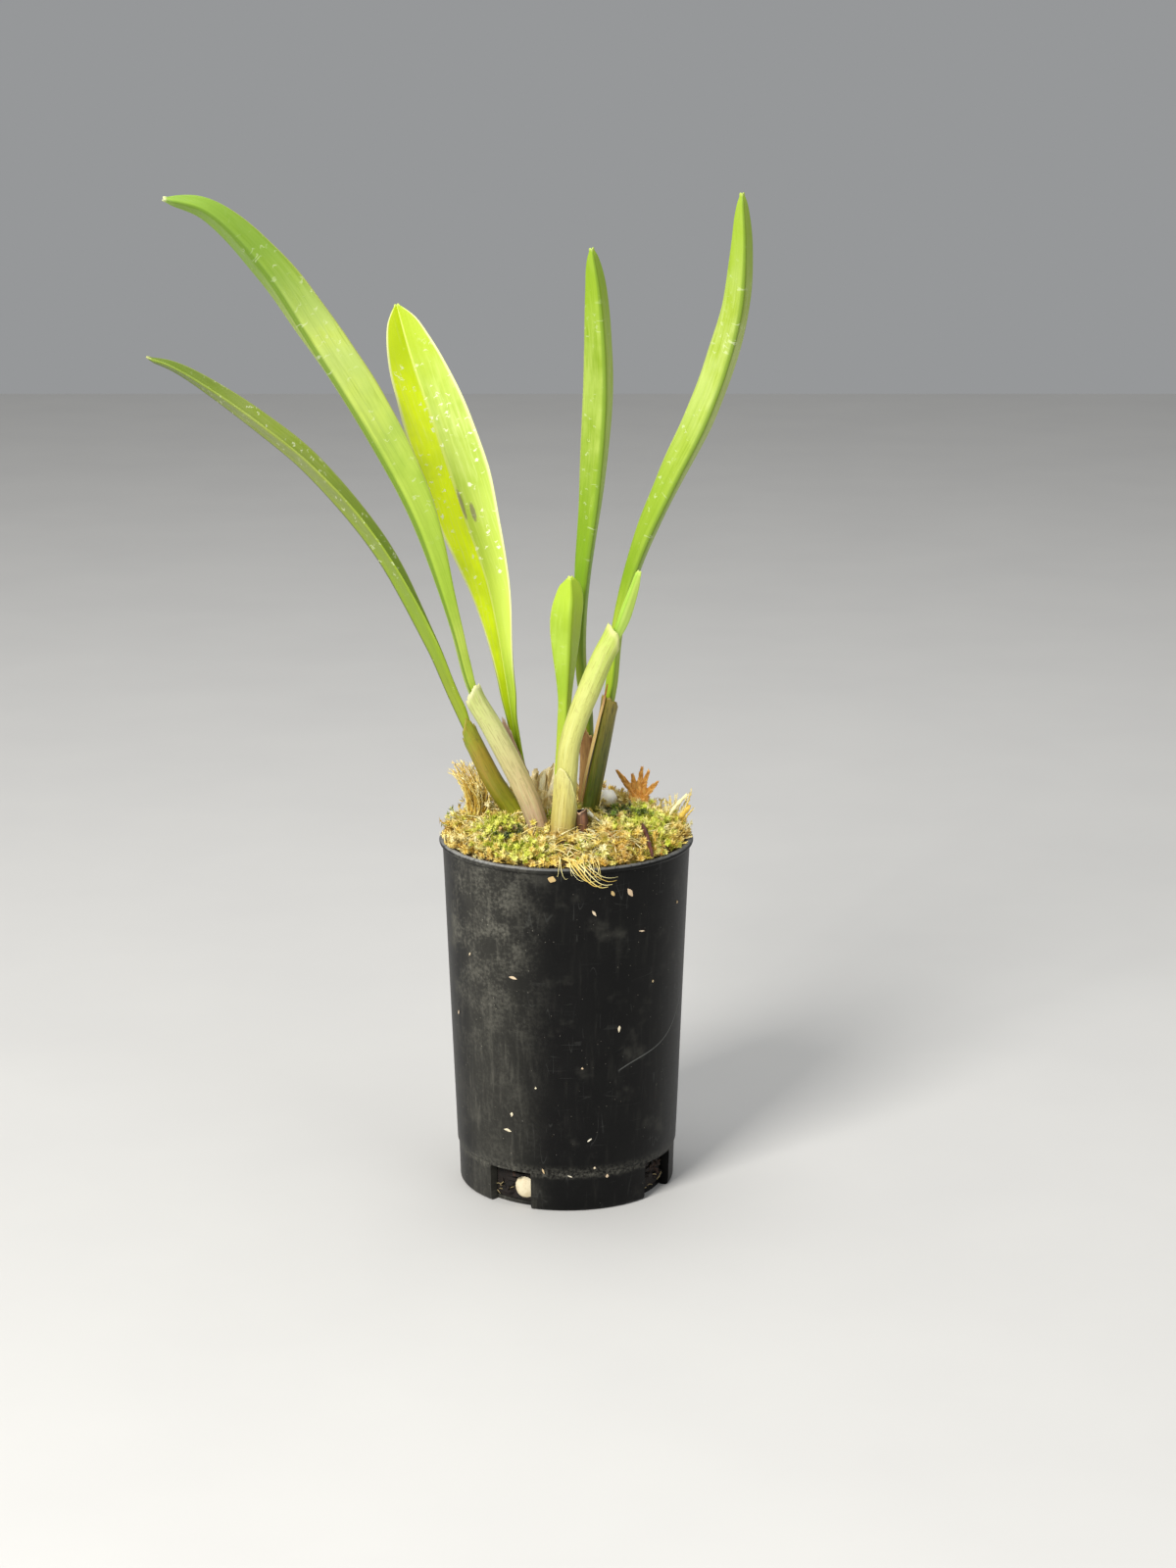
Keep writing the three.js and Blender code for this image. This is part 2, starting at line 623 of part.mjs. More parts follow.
// Feathery sprig: arched ribs with side shoots, from one foot
function fernSolid(grow) {
  const ribs = [
    [[19.5, 15, 101], [18.4, 15.6, 107], [14.6, 16, 112.4]],
    [[19.5, 15, 101], [20.4, 15.4, 108], [21, 16, 113.2]],
    [[19.5, 15, 101], [21.6, 14.6, 106], [24.6, 14, 109.6]],
  ];
  const pieces = [strand([[19.5, 15, 99.8], [19.6, 15, 103]], [2.1 + grow, 1.8 + grow], 6, 2)];
  for (const rib of ribs) {
    pieces.push(strand(rib, [0.8 + grow, 0.65 + grow, 0.45 + grow], 3, 4));
    const curve = spline(rib);
    for (let k = 0; k < 2; k++) {
      const base = curve.getPoint(0.5 + 0.26 * k);
      const reach = 2.8 - 0.7 * k;
      for (const side of [-1, 1]) {
        const tip = [base.x + side * reach * 0.8, base.y - 0.5, base.z + reach * 0.65];
        pieces.push(strand([base.toArray(), tip], [0.55 + grow, 0.35 + grow], 3, 2));
      }
    }
  }
  return joined(pieces);
}

// Strands that lie over the front of the rim and hang down outside, tied by a lying runner
function rimStrandsSolid(grow) {
  const random = randomSource(41);
  const pieces = [];
  const at = (angle, radius, height) => {
    const turn = degrees(angle);
    return [radius * Math.sin(turn), -radius * Math.cos(turn), height];
  };
  pieces.push(strand([at(-7, 31.4, 100.1), at(10, 31, 100.4), at(30, 31.4, 100.1)], [0.75 + grow], 4, 7));
  for (let k = 0; k < 9; k++) {
    const angle = -5 + 3.6 * k;
    const drift = random(1, 6);
    const path = [
      at(angle - 2, 30.4, 100.6), at(angle, 33.4, 100.6), at(angle + drift * 0.4, 35.9, 99.6),
      at(angle + drift, 36.2, random(93.6, 96.6)),
    ];
    pieces.push(strand(path, [0.5 + grow, 0.5 + grow, 0.45 + grow, 0.35 + grow], 3, 5));
  }
  return joined(pieces);
}

// Small things that lie in the moss
function chipSolid(grow) {
  const outline = [[-2.2, -1.6], [1.4, -2.4], [2.8, 0.2], [1.2, 2.6], [-1.8, 2.2]];
  const size = 1 + grow / 2;
  const shape = new THREE.Shape(outline.map(([x, y]) => new THREE.Vector2(x * size, y * size)));
  const chip = new THREE.ExtrudeGeometry(shape, { depth: 1 + 2 * grow, bevelEnabled: false });
  chip.translate(0, 0, -0.5 - grow);
  chip.rotateX(degrees(62));
  chip.rotateZ(degrees(-14));
  chip.translate(11.6, 18.6, 104.5);
  return solid(chip);
}

function rootTipSolid(grow) {
  const path = [[3.2, -1, 103.6], [4.9, -1.6, 106], [6.4, -3.6, 105.9], [9.2, -6.4, 104.6]];
  return strand(path, [0.95 + grow, 0.95 + grow, 0.9 + grow, 0.6 + grow], 6, 7);
}

function oldBractSolid(grow) {
  const path = [[4.4, -12.6, 100.6], [4.6, -13, 104.5], [4.2, -12.4, 109.6]];
  return strand(path, [1.25 + grow, 1.3 + grow, 0.6 + grow], 5, 5);
}

function twigSolid(grow) {
  const path = [[20.3, -8, 104.8], [21.6, -16, 104.2], [22.6, -22.6, 102.2], [23.2, -27.4, 100.7]];
  return strand(path, [0.6 + grow, 0.65 + grow, 0.6 + grow, 0.45 + grow], 5, 7);
}

function pebbleSolid(grow) {
  const pebble = new THREE.SphereGeometry(1, 12, 8);
  pebble.scale(3.65 + grow, 1.4 + grow, 3.65 + grow);
  pebble.rotateZ(degrees(-14));
  pebble.translate(-10.4, -24.1, 5.2);
  return solid(pebble);
}

// Growing mix, cut back behind each notch, with bark pieces standing out of the cut
function buildMix() {
  const bottom = potFloor + gap;
  const clearance = potWall + 2 * gap;
  const section = [
    [0, bottom], [potBaseRadius - clearance - 0.8, bottom], [potBaseRadius - clearance + 0.3, 6],
    [wallTopRadius - clearance, mixTop], [0, mixTop],
  ];
  const plug = turned(section, 30);
  const returnSpread = ((potWall + gap) / (potBaseRadius - notchDepth - gap)) * (180 / Math.PI);
  const niches = notchAngles.map((angle) => {
    return notchBlock(angle, returnSpread, notchDepth + gap, notchHeight + potWall + gap);
  });
  const random = randomSource(51);
  const bark = [];
  for (const angle of notchAngles) {
    for (let k = 0; k < barkPerNotch; k++) {
      const turn = degrees(angle + random(-9, 9) - 90);
      const piece = new THREE.SphereGeometry(1, 5, 3);
      piece.scale(random(1, 1.9), random(1.4, 2.6), random(0.8, 1.4));
      piece.rotateX(random(-0.6, 0.6));
      piece.rotateZ(turn);
      const reach = potBaseRadius - notchDepth - gap + random(-0.5, 0.1);
      piece.translate(reach * Math.cos(turn), reach * Math.sin(turn), 3.6 + 1.7 * k);
      bark.push(solid(piece));
    }
  }
  const body = cutBy(plug, niches).add(joined(bark));
  return largestBody(cutBy(body, [creepingStemSolid(gap), pebbleSolid(gap)]));
}

// Ring that keeps the moss clear of the rim
function rimClearance() {
  const low = bedBottom - 5;
  const high = potHeight + gap;
  const outer = potBeadRadius + 5;
  const ring = [[bedRadius, low], [outer, low], [outer, high], [bedRadius, high], [bedRadius, low]];
  return turned(ring, potSegments);
}

const orchid = new THREE.Group();

function addPiece(name, geometry, colour, roughness) {
  const material = new THREE.MeshStandardMaterial({ color: colour, roughness, metalness: 0 });
  const mesh = new THREE.Mesh(geometry, material);
  mesh.name = name;
  orchid.add(mesh);
}

addPiece("pot", buildPot(), 0x1b1c1f, 0.45);
addPiece("growing_mix", buildMix(), 0x33261c, 0.95);
addPiece("rhizome", largestBody(creepingStemSolid(0)), 0x8a7a55, 0.8);

const looseThings = [
  ["white_chip", chipSolid, 0xe6e2da],
  ["root_tip", rootTipSolid, 0xe4dfcc],
  ["old_bract", oldBractSolid, 0x7a5a38],
  ["twig", twigSolid, 0x4a2c22],
  ["fern_sprig", fernSolid, 0xa8703a],
  ["rim_strands", rimStrandsSolid, 0xc2a56c],
];

const mossTools = [rimClearance(), creepingStemSolid(gap)];
for (const name of Object.keys(leafPlans)) mossTools.push(stalkHole(name, stalkRadius));
for (const plan of Object.values(sheathPlans)) {
  mossTools.push(stalkHole(plan.leaf, Math.max(...plan.radius)));
}
for (const plan of Object.values(bunchPlans)) mossTools.push(bunchSolid(plan, gap));
for (const [, make] of looseThings) mossTools.push(make(gap));

const patchTools = Object.values(patchPlans).map((plan) => patchPrism(plan, gap));
addPiece("moss_golden", buildGoldenBed([...mossTools, ...patchTools]), 0xb8924e, 0.95);
for (const [name, plan] of Object.entries(patchPlans)) {
  addPiece(name, buildPatch(plan, mossTools), plan.colour, 0.95);
}
for (const [name, plan] of Object.entries(bunchPlans)) {
  addPiece(name, largestBody(bunchSolid(plan, 0)), plan.colour, 0.9);
}
for (const [name, make, colour] of looseThings) addPiece(name, largestBody(make(0)), colour, 0.85);
addPiece("pebble", largestBody(pebbleSolid(0)), 0xd8cfb4, 0.8);

for (const [name, plan] of Object.entries(leafPlans)) addPiece(name, buildLeaf(plan), plan.colour, 0.5);
for (const [name, plan] of Object.entries(sheathPlans)) addPiece(name, buildSheath(plan), plan.colour, 0.8);

export default orchid;
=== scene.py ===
import math
import bmesh
import bpy
import numpy as np
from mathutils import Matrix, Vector


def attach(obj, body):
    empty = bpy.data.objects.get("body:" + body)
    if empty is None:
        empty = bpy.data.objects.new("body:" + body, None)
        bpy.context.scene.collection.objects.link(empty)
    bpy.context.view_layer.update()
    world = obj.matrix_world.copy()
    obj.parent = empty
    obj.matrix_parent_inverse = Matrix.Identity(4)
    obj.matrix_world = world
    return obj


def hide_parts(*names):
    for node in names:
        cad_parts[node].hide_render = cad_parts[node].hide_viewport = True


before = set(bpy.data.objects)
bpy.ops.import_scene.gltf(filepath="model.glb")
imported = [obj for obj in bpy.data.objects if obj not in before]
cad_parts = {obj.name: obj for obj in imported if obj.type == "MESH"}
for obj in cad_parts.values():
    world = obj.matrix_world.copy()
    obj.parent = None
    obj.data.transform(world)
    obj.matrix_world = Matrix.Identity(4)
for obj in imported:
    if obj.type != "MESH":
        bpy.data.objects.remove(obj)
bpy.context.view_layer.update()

# Small masdevallia without flowers in a round nursery pot. Metres, front of the pot towards -Y.
mm = 0.001
goldenAngle = 2.39996
anyTurn = 6.28

# Camera and studio
camera = {"place": (0.0060, -0.8918, 0.3441), "tilt": 75.5, "lens": 77, "sensor": 36}
studio = {
    "key": {"place": (-0.62, -0.95, 0.95), "size": 0.5, "watts": 25, "tint": (1.0, 0.98, 0.94)},
    "fill": {"place": (0.9, -0.9, 0.7), "size": 0.9, "watts": 3.5, "tint": (0.96, 0.98, 1.0)},
    "above": {"place": (-0.1, 0.25, 1.3), "size": 0.9, "watts": 7, "tint": (1.0, 1.0, 1.0)},
    "aim": (0, 0, 0.13), "sky": (0.9, 0.92, 0.94, 1), "skyStrength": 0.34,
}


def newObject(name, data):
    made = bpy.data.objects.new(name, data)
    bpy.context.scene.collection.objects.link(made)
    return made


def addCamera():
    data = bpy.data.cameras.new("camera")
    data.lens = camera["lens"]
    data.sensor_width = camera["sensor"]
    eye = newObject("camera", data)
    eye.location = camera["place"]
    eye.rotation_euler = (math.radians(camera["tilt"]), 0, 0)
    bpy.context.scene.camera = eye


def addLights():
    for name in ("key", "fill", "above"):
        look = studio[name]
        data = bpy.data.lights.new(name, "AREA")
        data.size = look["size"]
        data.energy = look["watts"]
        data.color = look["tint"]
        light = newObject(name, data)
        light.location = look["place"]
        aim = Vector(studio["aim"]) - Vector(look["place"])
        light.rotation_euler = aim.to_track_quat("-Z", "Y").to_euler()
    world = bpy.data.worlds.new("sky")
    world.use_nodes = True
    background = world.node_tree.nodes["Background"]
    background.inputs["Color"].default_value = studio["sky"]
    background.inputs["Strength"].default_value = studio["skyStrength"]
    bpy.context.scene.world = world
    bpy.context.scene.view_settings.view_transform = "Standard"


addCamera()
addLights()
print("camera and lights placed")


# Numbers and curves
def unit(v):
    return v / np.maximum(np.linalg.norm(v, axis=-1, keepdims=True), 1e-12)


def smooth(v):
    t = np.clip(v, 0, 1)
    return t * t * (3 - 2 * t)


def lerp(a, b, t):
    return a + (b - a) * t


def along(values, u):
    return np.interp(np.clip(u, 0, 1) * (len(values) - 1), np.arange(len(values)), values)


def waves(seed, scale, *axes, count=7):
    random = np.random.default_rng(seed)
    total = 0
    for _ in range(count):
        turns = random.normal(size=len(axes)) * scale
        total = total + np.sin(sum(t * a for t, a in zip(turns, axes)) + random.uniform(0, anyTurn))
    return total / math.sqrt(count)


def fullTurn(count):
    return np.arange(count) * 2 * math.pi / count


# Shares from 0 to 1 down the rows and from -1 to 1 across them
def shareGrid(rows, columns):
    share = np.linspace(0, 1, rows)[:, None] * np.ones((1, columns))
    side = np.linspace(-1, 1, columns)[None, :] * np.ones((rows, 1))
    return share, side


# Centripetal spline through points, measured by its length as the modelled parts are
class Spine:
    def __init__(self, points):
        self.knots = np.array(points, float) * mm
        self.shares = np.linspace(0, 1, 401)
        steps = np.linalg.norm(np.diff(self.at(self.shares), axis=0), axis=1)
        self.lengths = np.concatenate([[0], np.cumsum(steps)])
        self.length = self.lengths[-1]

    def at(self, t):
        knots, last = self.knots, len(self.knots) - 1
        padded = np.vstack([2 * knots[0] - knots[1], knots, 2 * knots[-1] - knots[-2]])
        place = np.clip(t, 0, 1) * last
        index = np.minimum(np.floor(place).astype(int), last - 1)
        w = (place - index)[..., None]
        a, b, c, d = (padded[index + k] for k in range(4))
        gaps = [np.maximum(np.linalg.norm(q - p, axis=-1, keepdims=True), 1e-9) ** 0.5
                for p, q in ((a, b), (b, c), (c, d))]
        before, between, after = gaps
        start = ((b - a) / before - (c - a) / (before + between) + (c - b) / between) * between
        end = ((c - b) / between - (d - b) / (between + after) + (d - c) / after) * between
        cubic = 2 * b - 2 * c + start + end
        square = -3 * b + 3 * c - 2 * start - end
        return b + w * (start + w * (square + w * cubic))

    def share(self, u):
        return np.interp(np.asarray(u) * self.length, self.lengths, self.shares)

    def point(self, u):
        return self.at(self.share(u))

    def tangent(self, u):
        t = self.share(u)
        return unit(self.at(np.clip(t + 1e-4, 0, 1)) - self.at(np.clip(t - 1e-4, 0, 1)))


# Direction square to a tangent: 0 looks to the front, 90 to the right
def facingDirection(tangent, angle):
    front = np.array([0.0, -1.0, 0.0])
    forward = unit(front - tangent * (tangent @ front)[..., None])
    right = np.cross(tangent, forward)
    turn = np.radians(angle)[..., None]
    return forward * np.cos(turn) + right * np.sin(turn)


# Points, faces and point values of one piece, gathered part by part
class Growth:
    def __init__(self):
        self.points, self.faces, self.values, self.count = [], [], [], 0

    def add(self, points, faces, **values):
        points = np.asarray(points, float).reshape(-1, 3)
        self.points.append(points)
        self.faces.append(np.asarray(faces) + self.count)
        self.values.append({k: np.broadcast_to(np.asarray(v, float), len(points)) for k, v in values.items()})
        self.count += len(points)

    def mesh(self, name):
        mesh = bpy.data.meshes.new(name)
        faces = [face for part in self.faces for face in part.tolist()]
        mesh.from_pydata(np.vstack(self.points), [], faces)
        names = sorted({key for part in self.values for key in part})
        for key in names:
            column = [part.get(key, np.zeros(len(p))) for part, p in zip(self.values, self.points)]
            layer = mesh.attributes.new(key, "FLOAT", "POINT")
            layer.data.foreach_set("value", np.concatenate(column).astype(np.float32))
        mesh.validate()
        mesh.shade_smooth()
        return mesh


def addPiece(name, mesh, finish, slotName, nodes=(), sharpAngle=None):
    mesh.materials.clear()
    mesh.materials.append(finish.material)
    if sharpAngle:
        mesh.set_sharp_from_angle(angle=math.radians(sharpAngle))
    piece = newObject(name, mesh)
    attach(piece, "root")
    if nodes:
        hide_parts(*nodes)
    triangles = sum(len(p.vertices) - 2 for p in mesh.polygons)
    print(f"{name}: {triangles} triangles")


def camel(node):
    first, *rest = node.split("_")
    return first + "".join(word.capitalize() for word in rest)


# The finer piece that takes the place of a node, under the node's name in camel case
def dress(node, shape, finish, **options):
    name = camel(node)
    addPiece(name, shape.mesh(name) if isinstance(shape, Growth) else shape, finish, node, [node], **options)


def meshFrom(shape, name):
    mesh = bpy.data.meshes.new(name)
    shape.to_mesh(mesh)
    shape.free()
    return mesh


def gridFaces(rows, columns, closed=False):
    i = np.arange(rows - 1)[:, None]
    j = np.arange(columns if closed else columns - 1)[None, :]
    a = i * columns + j
    b = i * columns + (j + 1) % columns
    return np.stack([a, b, b + columns, a + columns], -1).reshape(-1, 4)


# Upper and under face joined along both margins, and closed at the given end rows
def wrapFaces(rows, columns, ends):
    count = 2 * columns
    j = np.arange(columns - 1)
    faces = [gridFaces(rows, count, closed=True)]
    for end in ends:
        start = end * count
        cap = np.stack([start + j, start + j + 1, start + count - 2 - j, start + count - 1 - j], -1)
        faces.append(cap if end else cap[:, ::-1])
    return np.vstack(faces)


# Values of an upper face, repeated for the under face that comes back beneath it
def doubled(values):
    return np.concatenate([values, values[:, ::-1]], 1).ravel()


# Frame square to many paths at once
def pathFrames(paths, random):
    tangent = unit(np.gradient(paths, axis=1))
    guide = random.normal(size=(len(paths), 1, 3))
    first = unit(np.cross(tangent, guide))
    return tangent, first, np.cross(tangent, first)


def tubePoints(paths, frames, radii, sides):
    _, first, second = frames
    turn = fullTurn(sides)
    ring = first[:, :, None] * np.cos(turn)[:, None] + second[:, :, None] * np.sin(turn)[:, None]
    return paths[:, :, None] + ring * np.broadcast_to(radii, paths.shape[:2])[:, :, None, None]


def tubeFaces(count, rows, sides):
    one = gridFaces(rows, sides, closed=True)
    return (np.arange(count)[:, None, None] * rows * sides + one).reshape(-1, 4)


# Pointed leaflets along many paths, each set by a golden-angle spiral
def leafletPoints(paths, frames, shares, length, width, spread, random, cup=0.12):
    count, rows = paths.shape[:2]
    place = shares * (rows - 1)
    index = np.minimum(place.astype(int), rows - 2)
    part = (place - index)[None, :, None]
    between = lambda grid: grid[:, index] * (1 - part) + grid[:, index + 1] * part
    base, tangent, first, second = (between(grid) for grid in (paths, *frames))
    turn = np.arange(len(shares)) * goldenAngle + random.uniform(0, anyTurn, (count, 1))
    radial = first * np.cos(turn)[..., None] + second * np.sin(turn)[..., None]
    lean = np.radians(spread) * random.uniform(0.7, 1.3, (count, len(shares)))
    out = unit(tangent * np.cos(lean)[..., None] + radial * np.sin(lean)[..., None])
    up = unit(tangent * np.sin(lean)[..., None] - radial * np.cos(lean)[..., None])
    side = np.cross(out, up)
    size = (length * random.uniform(0.7, 1.25, (count, len(shares))))[..., None]
    half = width / 2 * size / np.mean(size)
    middle = base + out * size * 0.45 - up * size * cup
    tip = base + out * size + up * size * cup * 1.6
    return np.stack([base, middle + side * half, tip, middle - side * half], 2)


# Paths that bend over as they grow, from roots with a heading and a lean
def grownPaths(roots, heading, lean, length, rows, random, curl, droop):
    share = np.linspace(0, 1, rows)
    turn = heading[:, None] + share * random.uniform(-curl, curl, (len(roots), 1))
    rise = lean[:, None] - share * droop * random.uniform(0.2, 1.2, (len(roots), 1))
    step = np.stack([np.cos(turn) * np.cos(rise), np.sin(turn) * np.cos(rise), np.sin(rise)], -1)
    step = step * (length / (rows - 1))[:, None, None]
    return roots[:, None] + np.concatenate([np.zeros((len(roots), 1, 3)), np.cumsum(step[:, :-1], 1)], 1)


def bezierPaths(start, middle, end, rows):
    t = np.linspace(0, 1, rows)[None, :, None]
    start, middle, end = start[:, None], middle[:, None], end[:, None]
    return start * (1 - t) ** 2 + middle * 2 * t * (1 - t) + end * t ** 2


# A number or colour socket that can stand in sums
class Wire:
    def __init__(self, finish, socket):
        self.finish, self.socket = finish, socket

    def __add__(self, other):
        return self.finish.maths("ADD", self, other)

    def __sub__(self, other):
        return self.finish.maths("SUBTRACT", self, other)

    def __rsub__(self, other):
        return self.finish.maths("SUBTRACT", other, self)

    def __mul__(self, other):
        return self.finish.maths("MULTIPLY", self, other)

    def __truediv__(self, other):
        return self.finish.maths("DIVIDE", self, other)

    __radd__ = __add__
    __rmul__ = __mul__


def paint(colour):
    return tuple((c / 255 / 12.92 if c <= 10 else ((c / 255 + 0.055) / 1.055) ** 2.4) for c in colour) + (1,)


def tone(colour):
    return colour if isinstance(colour, Wire) else paint(colour)


# One material and its nodes
class Finish:
    def __init__(self, name):
        self.material = bpy.data.materials.new(name)
        self.material.use_nodes = True
        self.tree = self.material.node_tree
        self.tree.nodes.clear()

    def node(self, kind, settings=None, values=None, output=0):
        made = self.tree.nodes.new(kind)
        for key, setting in (settings or {}).items():
            if key != "stops":
                setattr(made, key, setting)
                continue
            elements = made.color_ramp.elements
            elements.remove(elements[-1])
            for k, (place, colour) in enumerate(setting):
                element = elements.new(place) if k else elements[0]
                element.position = place
                element.color = paint(colour)
        for key, value in (values or {}).items():
            if isinstance(value, Wire):
                self.tree.links.new(value.socket, made.inputs[key])
            else:
                made.inputs[key].default_value = value
        return Wire(self, made.outputs[output]) if len(made.outputs) else None

    def maths(self, operation, *terms):
        return self.node("ShaderNodeMath", {"operation": operation}, dict(enumerate(terms)))

    def value(self, name):
        return self.node("ShaderNodeAttribute", {"attribute_name": name}, output=2)

    def place(self):
        return self.node("ShaderNodeTexCoord", output=3)

    def axes(self):
        return [self.node("ShaderNodeSeparateXYZ", None, {0: self.place()}, k) for k in range(3)]

    def vector(self, x, y, z):
        return self.node("ShaderNodeCombineXYZ", None, {0: x, 1: y, 2: z})

    def noise(self, scale, detail, at=None, rough=0.5):
        values = {"Vector": at or self.place(), "Scale": scale, "Detail": detail, "Roughness": rough}
        return self.node("ShaderNodeTexNoise", None, values)

    def spots(self, scale, at):
        return self.node("ShaderNodeTexVoronoi", None, {"Vector": at, "Scale": scale})

    def mask(self, value, low, high):
        settings = {"interpolation_type": "SMOOTHSTEP"}
        return self.node("ShaderNodeMapRange", settings, {0: value, 1: low, 2: high, 3: 0.0, 4: 1.0})

    def blend(self, factor, a, b):
        return self.node("ShaderNodeMix", {"data_type": "RGBA"}, {0: factor, 6: tone(a), 7: tone(b)}, 2)

    # lays pairs of a factor and a colour over a colour, one after the other
    def over(self, colour, *layers):
        for factor, layer in layers:
            colour = self.blend(factor, colour, layer)
        return colour

    def ramp(self, factor, stops):
        return self.node("ShaderNodeValToRGB", {"stops": stops}, {0: factor})

    def surface(self, colour, roughness, height, depth, strength, **uniform):
        relief = self.node("ShaderNodeBump", None, {"Strength": strength, "Distance": depth, "Height": height})
        values = {"Base Color": colour, "Roughness": roughness, "Normal": relief}
        for key, value in uniform.items():
            values[key.replace("_", " ")] = value
        shader = self.node("ShaderNodeBsdfPrincipled", None, values)
        self.node("ShaderNodeOutputMaterial", None, {"Surface": shader})
        return self


# Floor
floorLook = {"half": 1.6, "rows": 9, "colour": (204, 203, 200), "speck": (196, 195, 193)}


def addFloor():
    finish = Finish("paleFloor")
    cloud = finish.noise(14, 3)
    finish.surface(finish.blend(cloud, floorLook["colour"], floorLook["speck"]), 0.7 + cloud * 0.1,
                   finish.noise(900, 2), 0.0001, 0.15)
    half, rows = floorLook["half"], floorLook["rows"]
    growth = Growth()
    side = np.linspace(-half, half, rows)
    x, y = np.meshgrid(side, side)
    growth.add(np.stack([x, y, np.zeros_like(x)], -1), gridFaces(rows, rows))
    mesh = growth.mesh("floor")
    mesh.materials.append(finish.material)
    floor = newObject("floor", mesh)


addFloor()
print("floor laid")

# Pot: turned shell with a rolled bead, and a drain notch with thin returns in each quarter
pot = {
    "height": 99, "baseRadius": 30, "beadRadius": 35, "wall": 1.2, "floor": 1.2,
    "stepHeight": 11.4, "stepRadius": 30.3, "stepWidth": 0.4, "stepRise": 0.5, "wallTopRadius": 34.1,
    "beadHeight": 1.7,
    "notchAngles": [-31.3, 58.7, 148.7, 238.7], "notchWidth": 25, "notchHeight": 10.6, "notchDepth": 2.4,
    "segments": 200,
}
potLook = {
    "black": (9, 9, 9), "worn": (20, 20, 19), "sheen": (62, 61, 56), "dust": (140, 138, 126),
    "scratch": (120, 122, 118), "specks": (170, 165, 150), "bead": (150, 150, 148), "fleckSeed": 5,
    # angle from the front in degrees and height of the long curved scratch
    "longScratch": [(26.4, 40.2), (39.6, 43.0), (54.6, 45.5), (68.5, 50.9), (79.1, 59.0)],
}
# angle from the front, height, length, width and turn of the flecks stuck to the wall
potFlecks = [
    (-6.2, 96, 1.9, 1.5, 70), (21.9, 91.4, 1.7, 0.9, -60), (30.6, 91, 2.9, 1.3, -55),
    (13.2, 86.2, 2.0, 0.6, -55), (26.5, 52.4, 1.9, 0.7, 85), (37.7, 79.4, 2.0, 0.6, -10),
    (-25.6, 67.1, 2.4, 0.7, -8), (-30.8, 22.5, 2.4, 0.7, -6), (-28.2, 27.4, 1.3, 0.8, 80),
    (11.9, 21.0, 1.5, 0.5, 35), (-11.7, 11.8, 1.7, 0.5, -65), (14.7, 12.6, 0.7, 0.6, 0),
    (21.7, 9.7, 1.0, 0.9, 0), (2.0, 10.4, 1.5, 0.4, -20), (-52, 71, 1.2, 0.5, 60), (46, 64, 0.8, 0.7, 0),
    (-66, 52, 1.4, 0.5, 75), (8, 42, 0.6, 0.5, 0), (64, 84, 0.9, 0.7, 0), (-15, 36, 0.6, 0.5, 0),
    (150, 60, 1.5, 0.5, 40), (-140, 45, 1.2, 0.6, 70), (120, 30, 1.2, 0.5, -40), (-110, 80, 1.5, 0.6, 20),
]


def potOutline():
    step, rise = pot["stepRadius"], pot["stepHeight"] + pot["stepRise"]
    base, top = pot["baseRadius"], pot["height"] - pot["beadHeight"]
    outline = [(0, 0), (base - 1, 0), (base - 0.6, 0.08), (base - 0.3, 0.3), (base - 0.08, 0.62), (base, 1)]
    outline += [(lerp(base, step, k / 4), lerp(1, pot["stepHeight"], k / 4)) for k in range(1, 5)]
    shoulder = step + pot["stepWidth"]
    outline += [(step + 0.25, pot["stepHeight"] + 0.1), (shoulder, rise)]
    outline += [(lerp(shoulder, pot["wallTopRadius"], k / 24), lerp(rise, top, k / 24)) for k in range(1, 25)]
    return outline


def wallRadius(height):
    heights = (0, pot["stepHeight"], pot["stepHeight"] + pot["stepRise"], pot["height"] - pot["beadHeight"])
    step = pot["stepRadius"]
    return float(np.interp(height, heights,
                           (pot["baseRadius"], step, step + pot["stepWidth"], pot["wallTopRadius"])))


def turnedMesh(section, segments):
    turn = fullTurn(segments)
    shape = bmesh.new()
    rings = []
    for radius, height in section:
        if radius < 0.01:
            rings.append([shape.verts.new((0, 0, height * mm))])
        else:
            rings.append([shape.verts.new((radius * mm * math.cos(t), radius * mm * math.sin(t), height * mm))
                          for t in turn])
    for low, high in zip(rings, rings[1:]):
        for k in range(segments):
            after = (k + 1) % segments
            corners = [low[k % len(low)], low[after % len(low)], high[after % len(high)], high[k % len(high)]]
            shape.faces.new(list(dict.fromkeys(corners)))
    bmesh.ops.recalc_face_normals(shape, faces=shape.faces)
    return meshFrom(shape, "turned")


# Blocks that stand in the sectors of the notches, for joining and cutting
def sectorBlocks(name, spread, inner, outer, low, high):
    shape = bmesh.new()
    for middle in pot["notchAngles"]:
        half = pot["notchWidth"] / 2 + spread
        angles = np.radians(np.linspace(middle - half, middle + half, 15))
        rings = []
        for radius, height in ((inner, low), (outer, low), (outer, high), (inner, high)):
            rings.append([shape.verts.new((radius * mm * math.sin(a), -radius * mm * math.cos(a),
                                           height * mm))
                          for a in angles])
        for k in range(4):
            near, far = rings[k], rings[(k + 1) % 4]
            for j in range(len(angles) - 1):
                shape.faces.new((near[j], near[j + 1], far[j + 1], far[j]))
        shape.faces.new([ring[0] for ring in rings])
        shape.faces.new([ring[-1] for ring in reversed(rings)])
    bmesh.ops.recalc_face_normals(shape, faces=shape.faces)
    return newObject(name, meshFrom(shape, name))


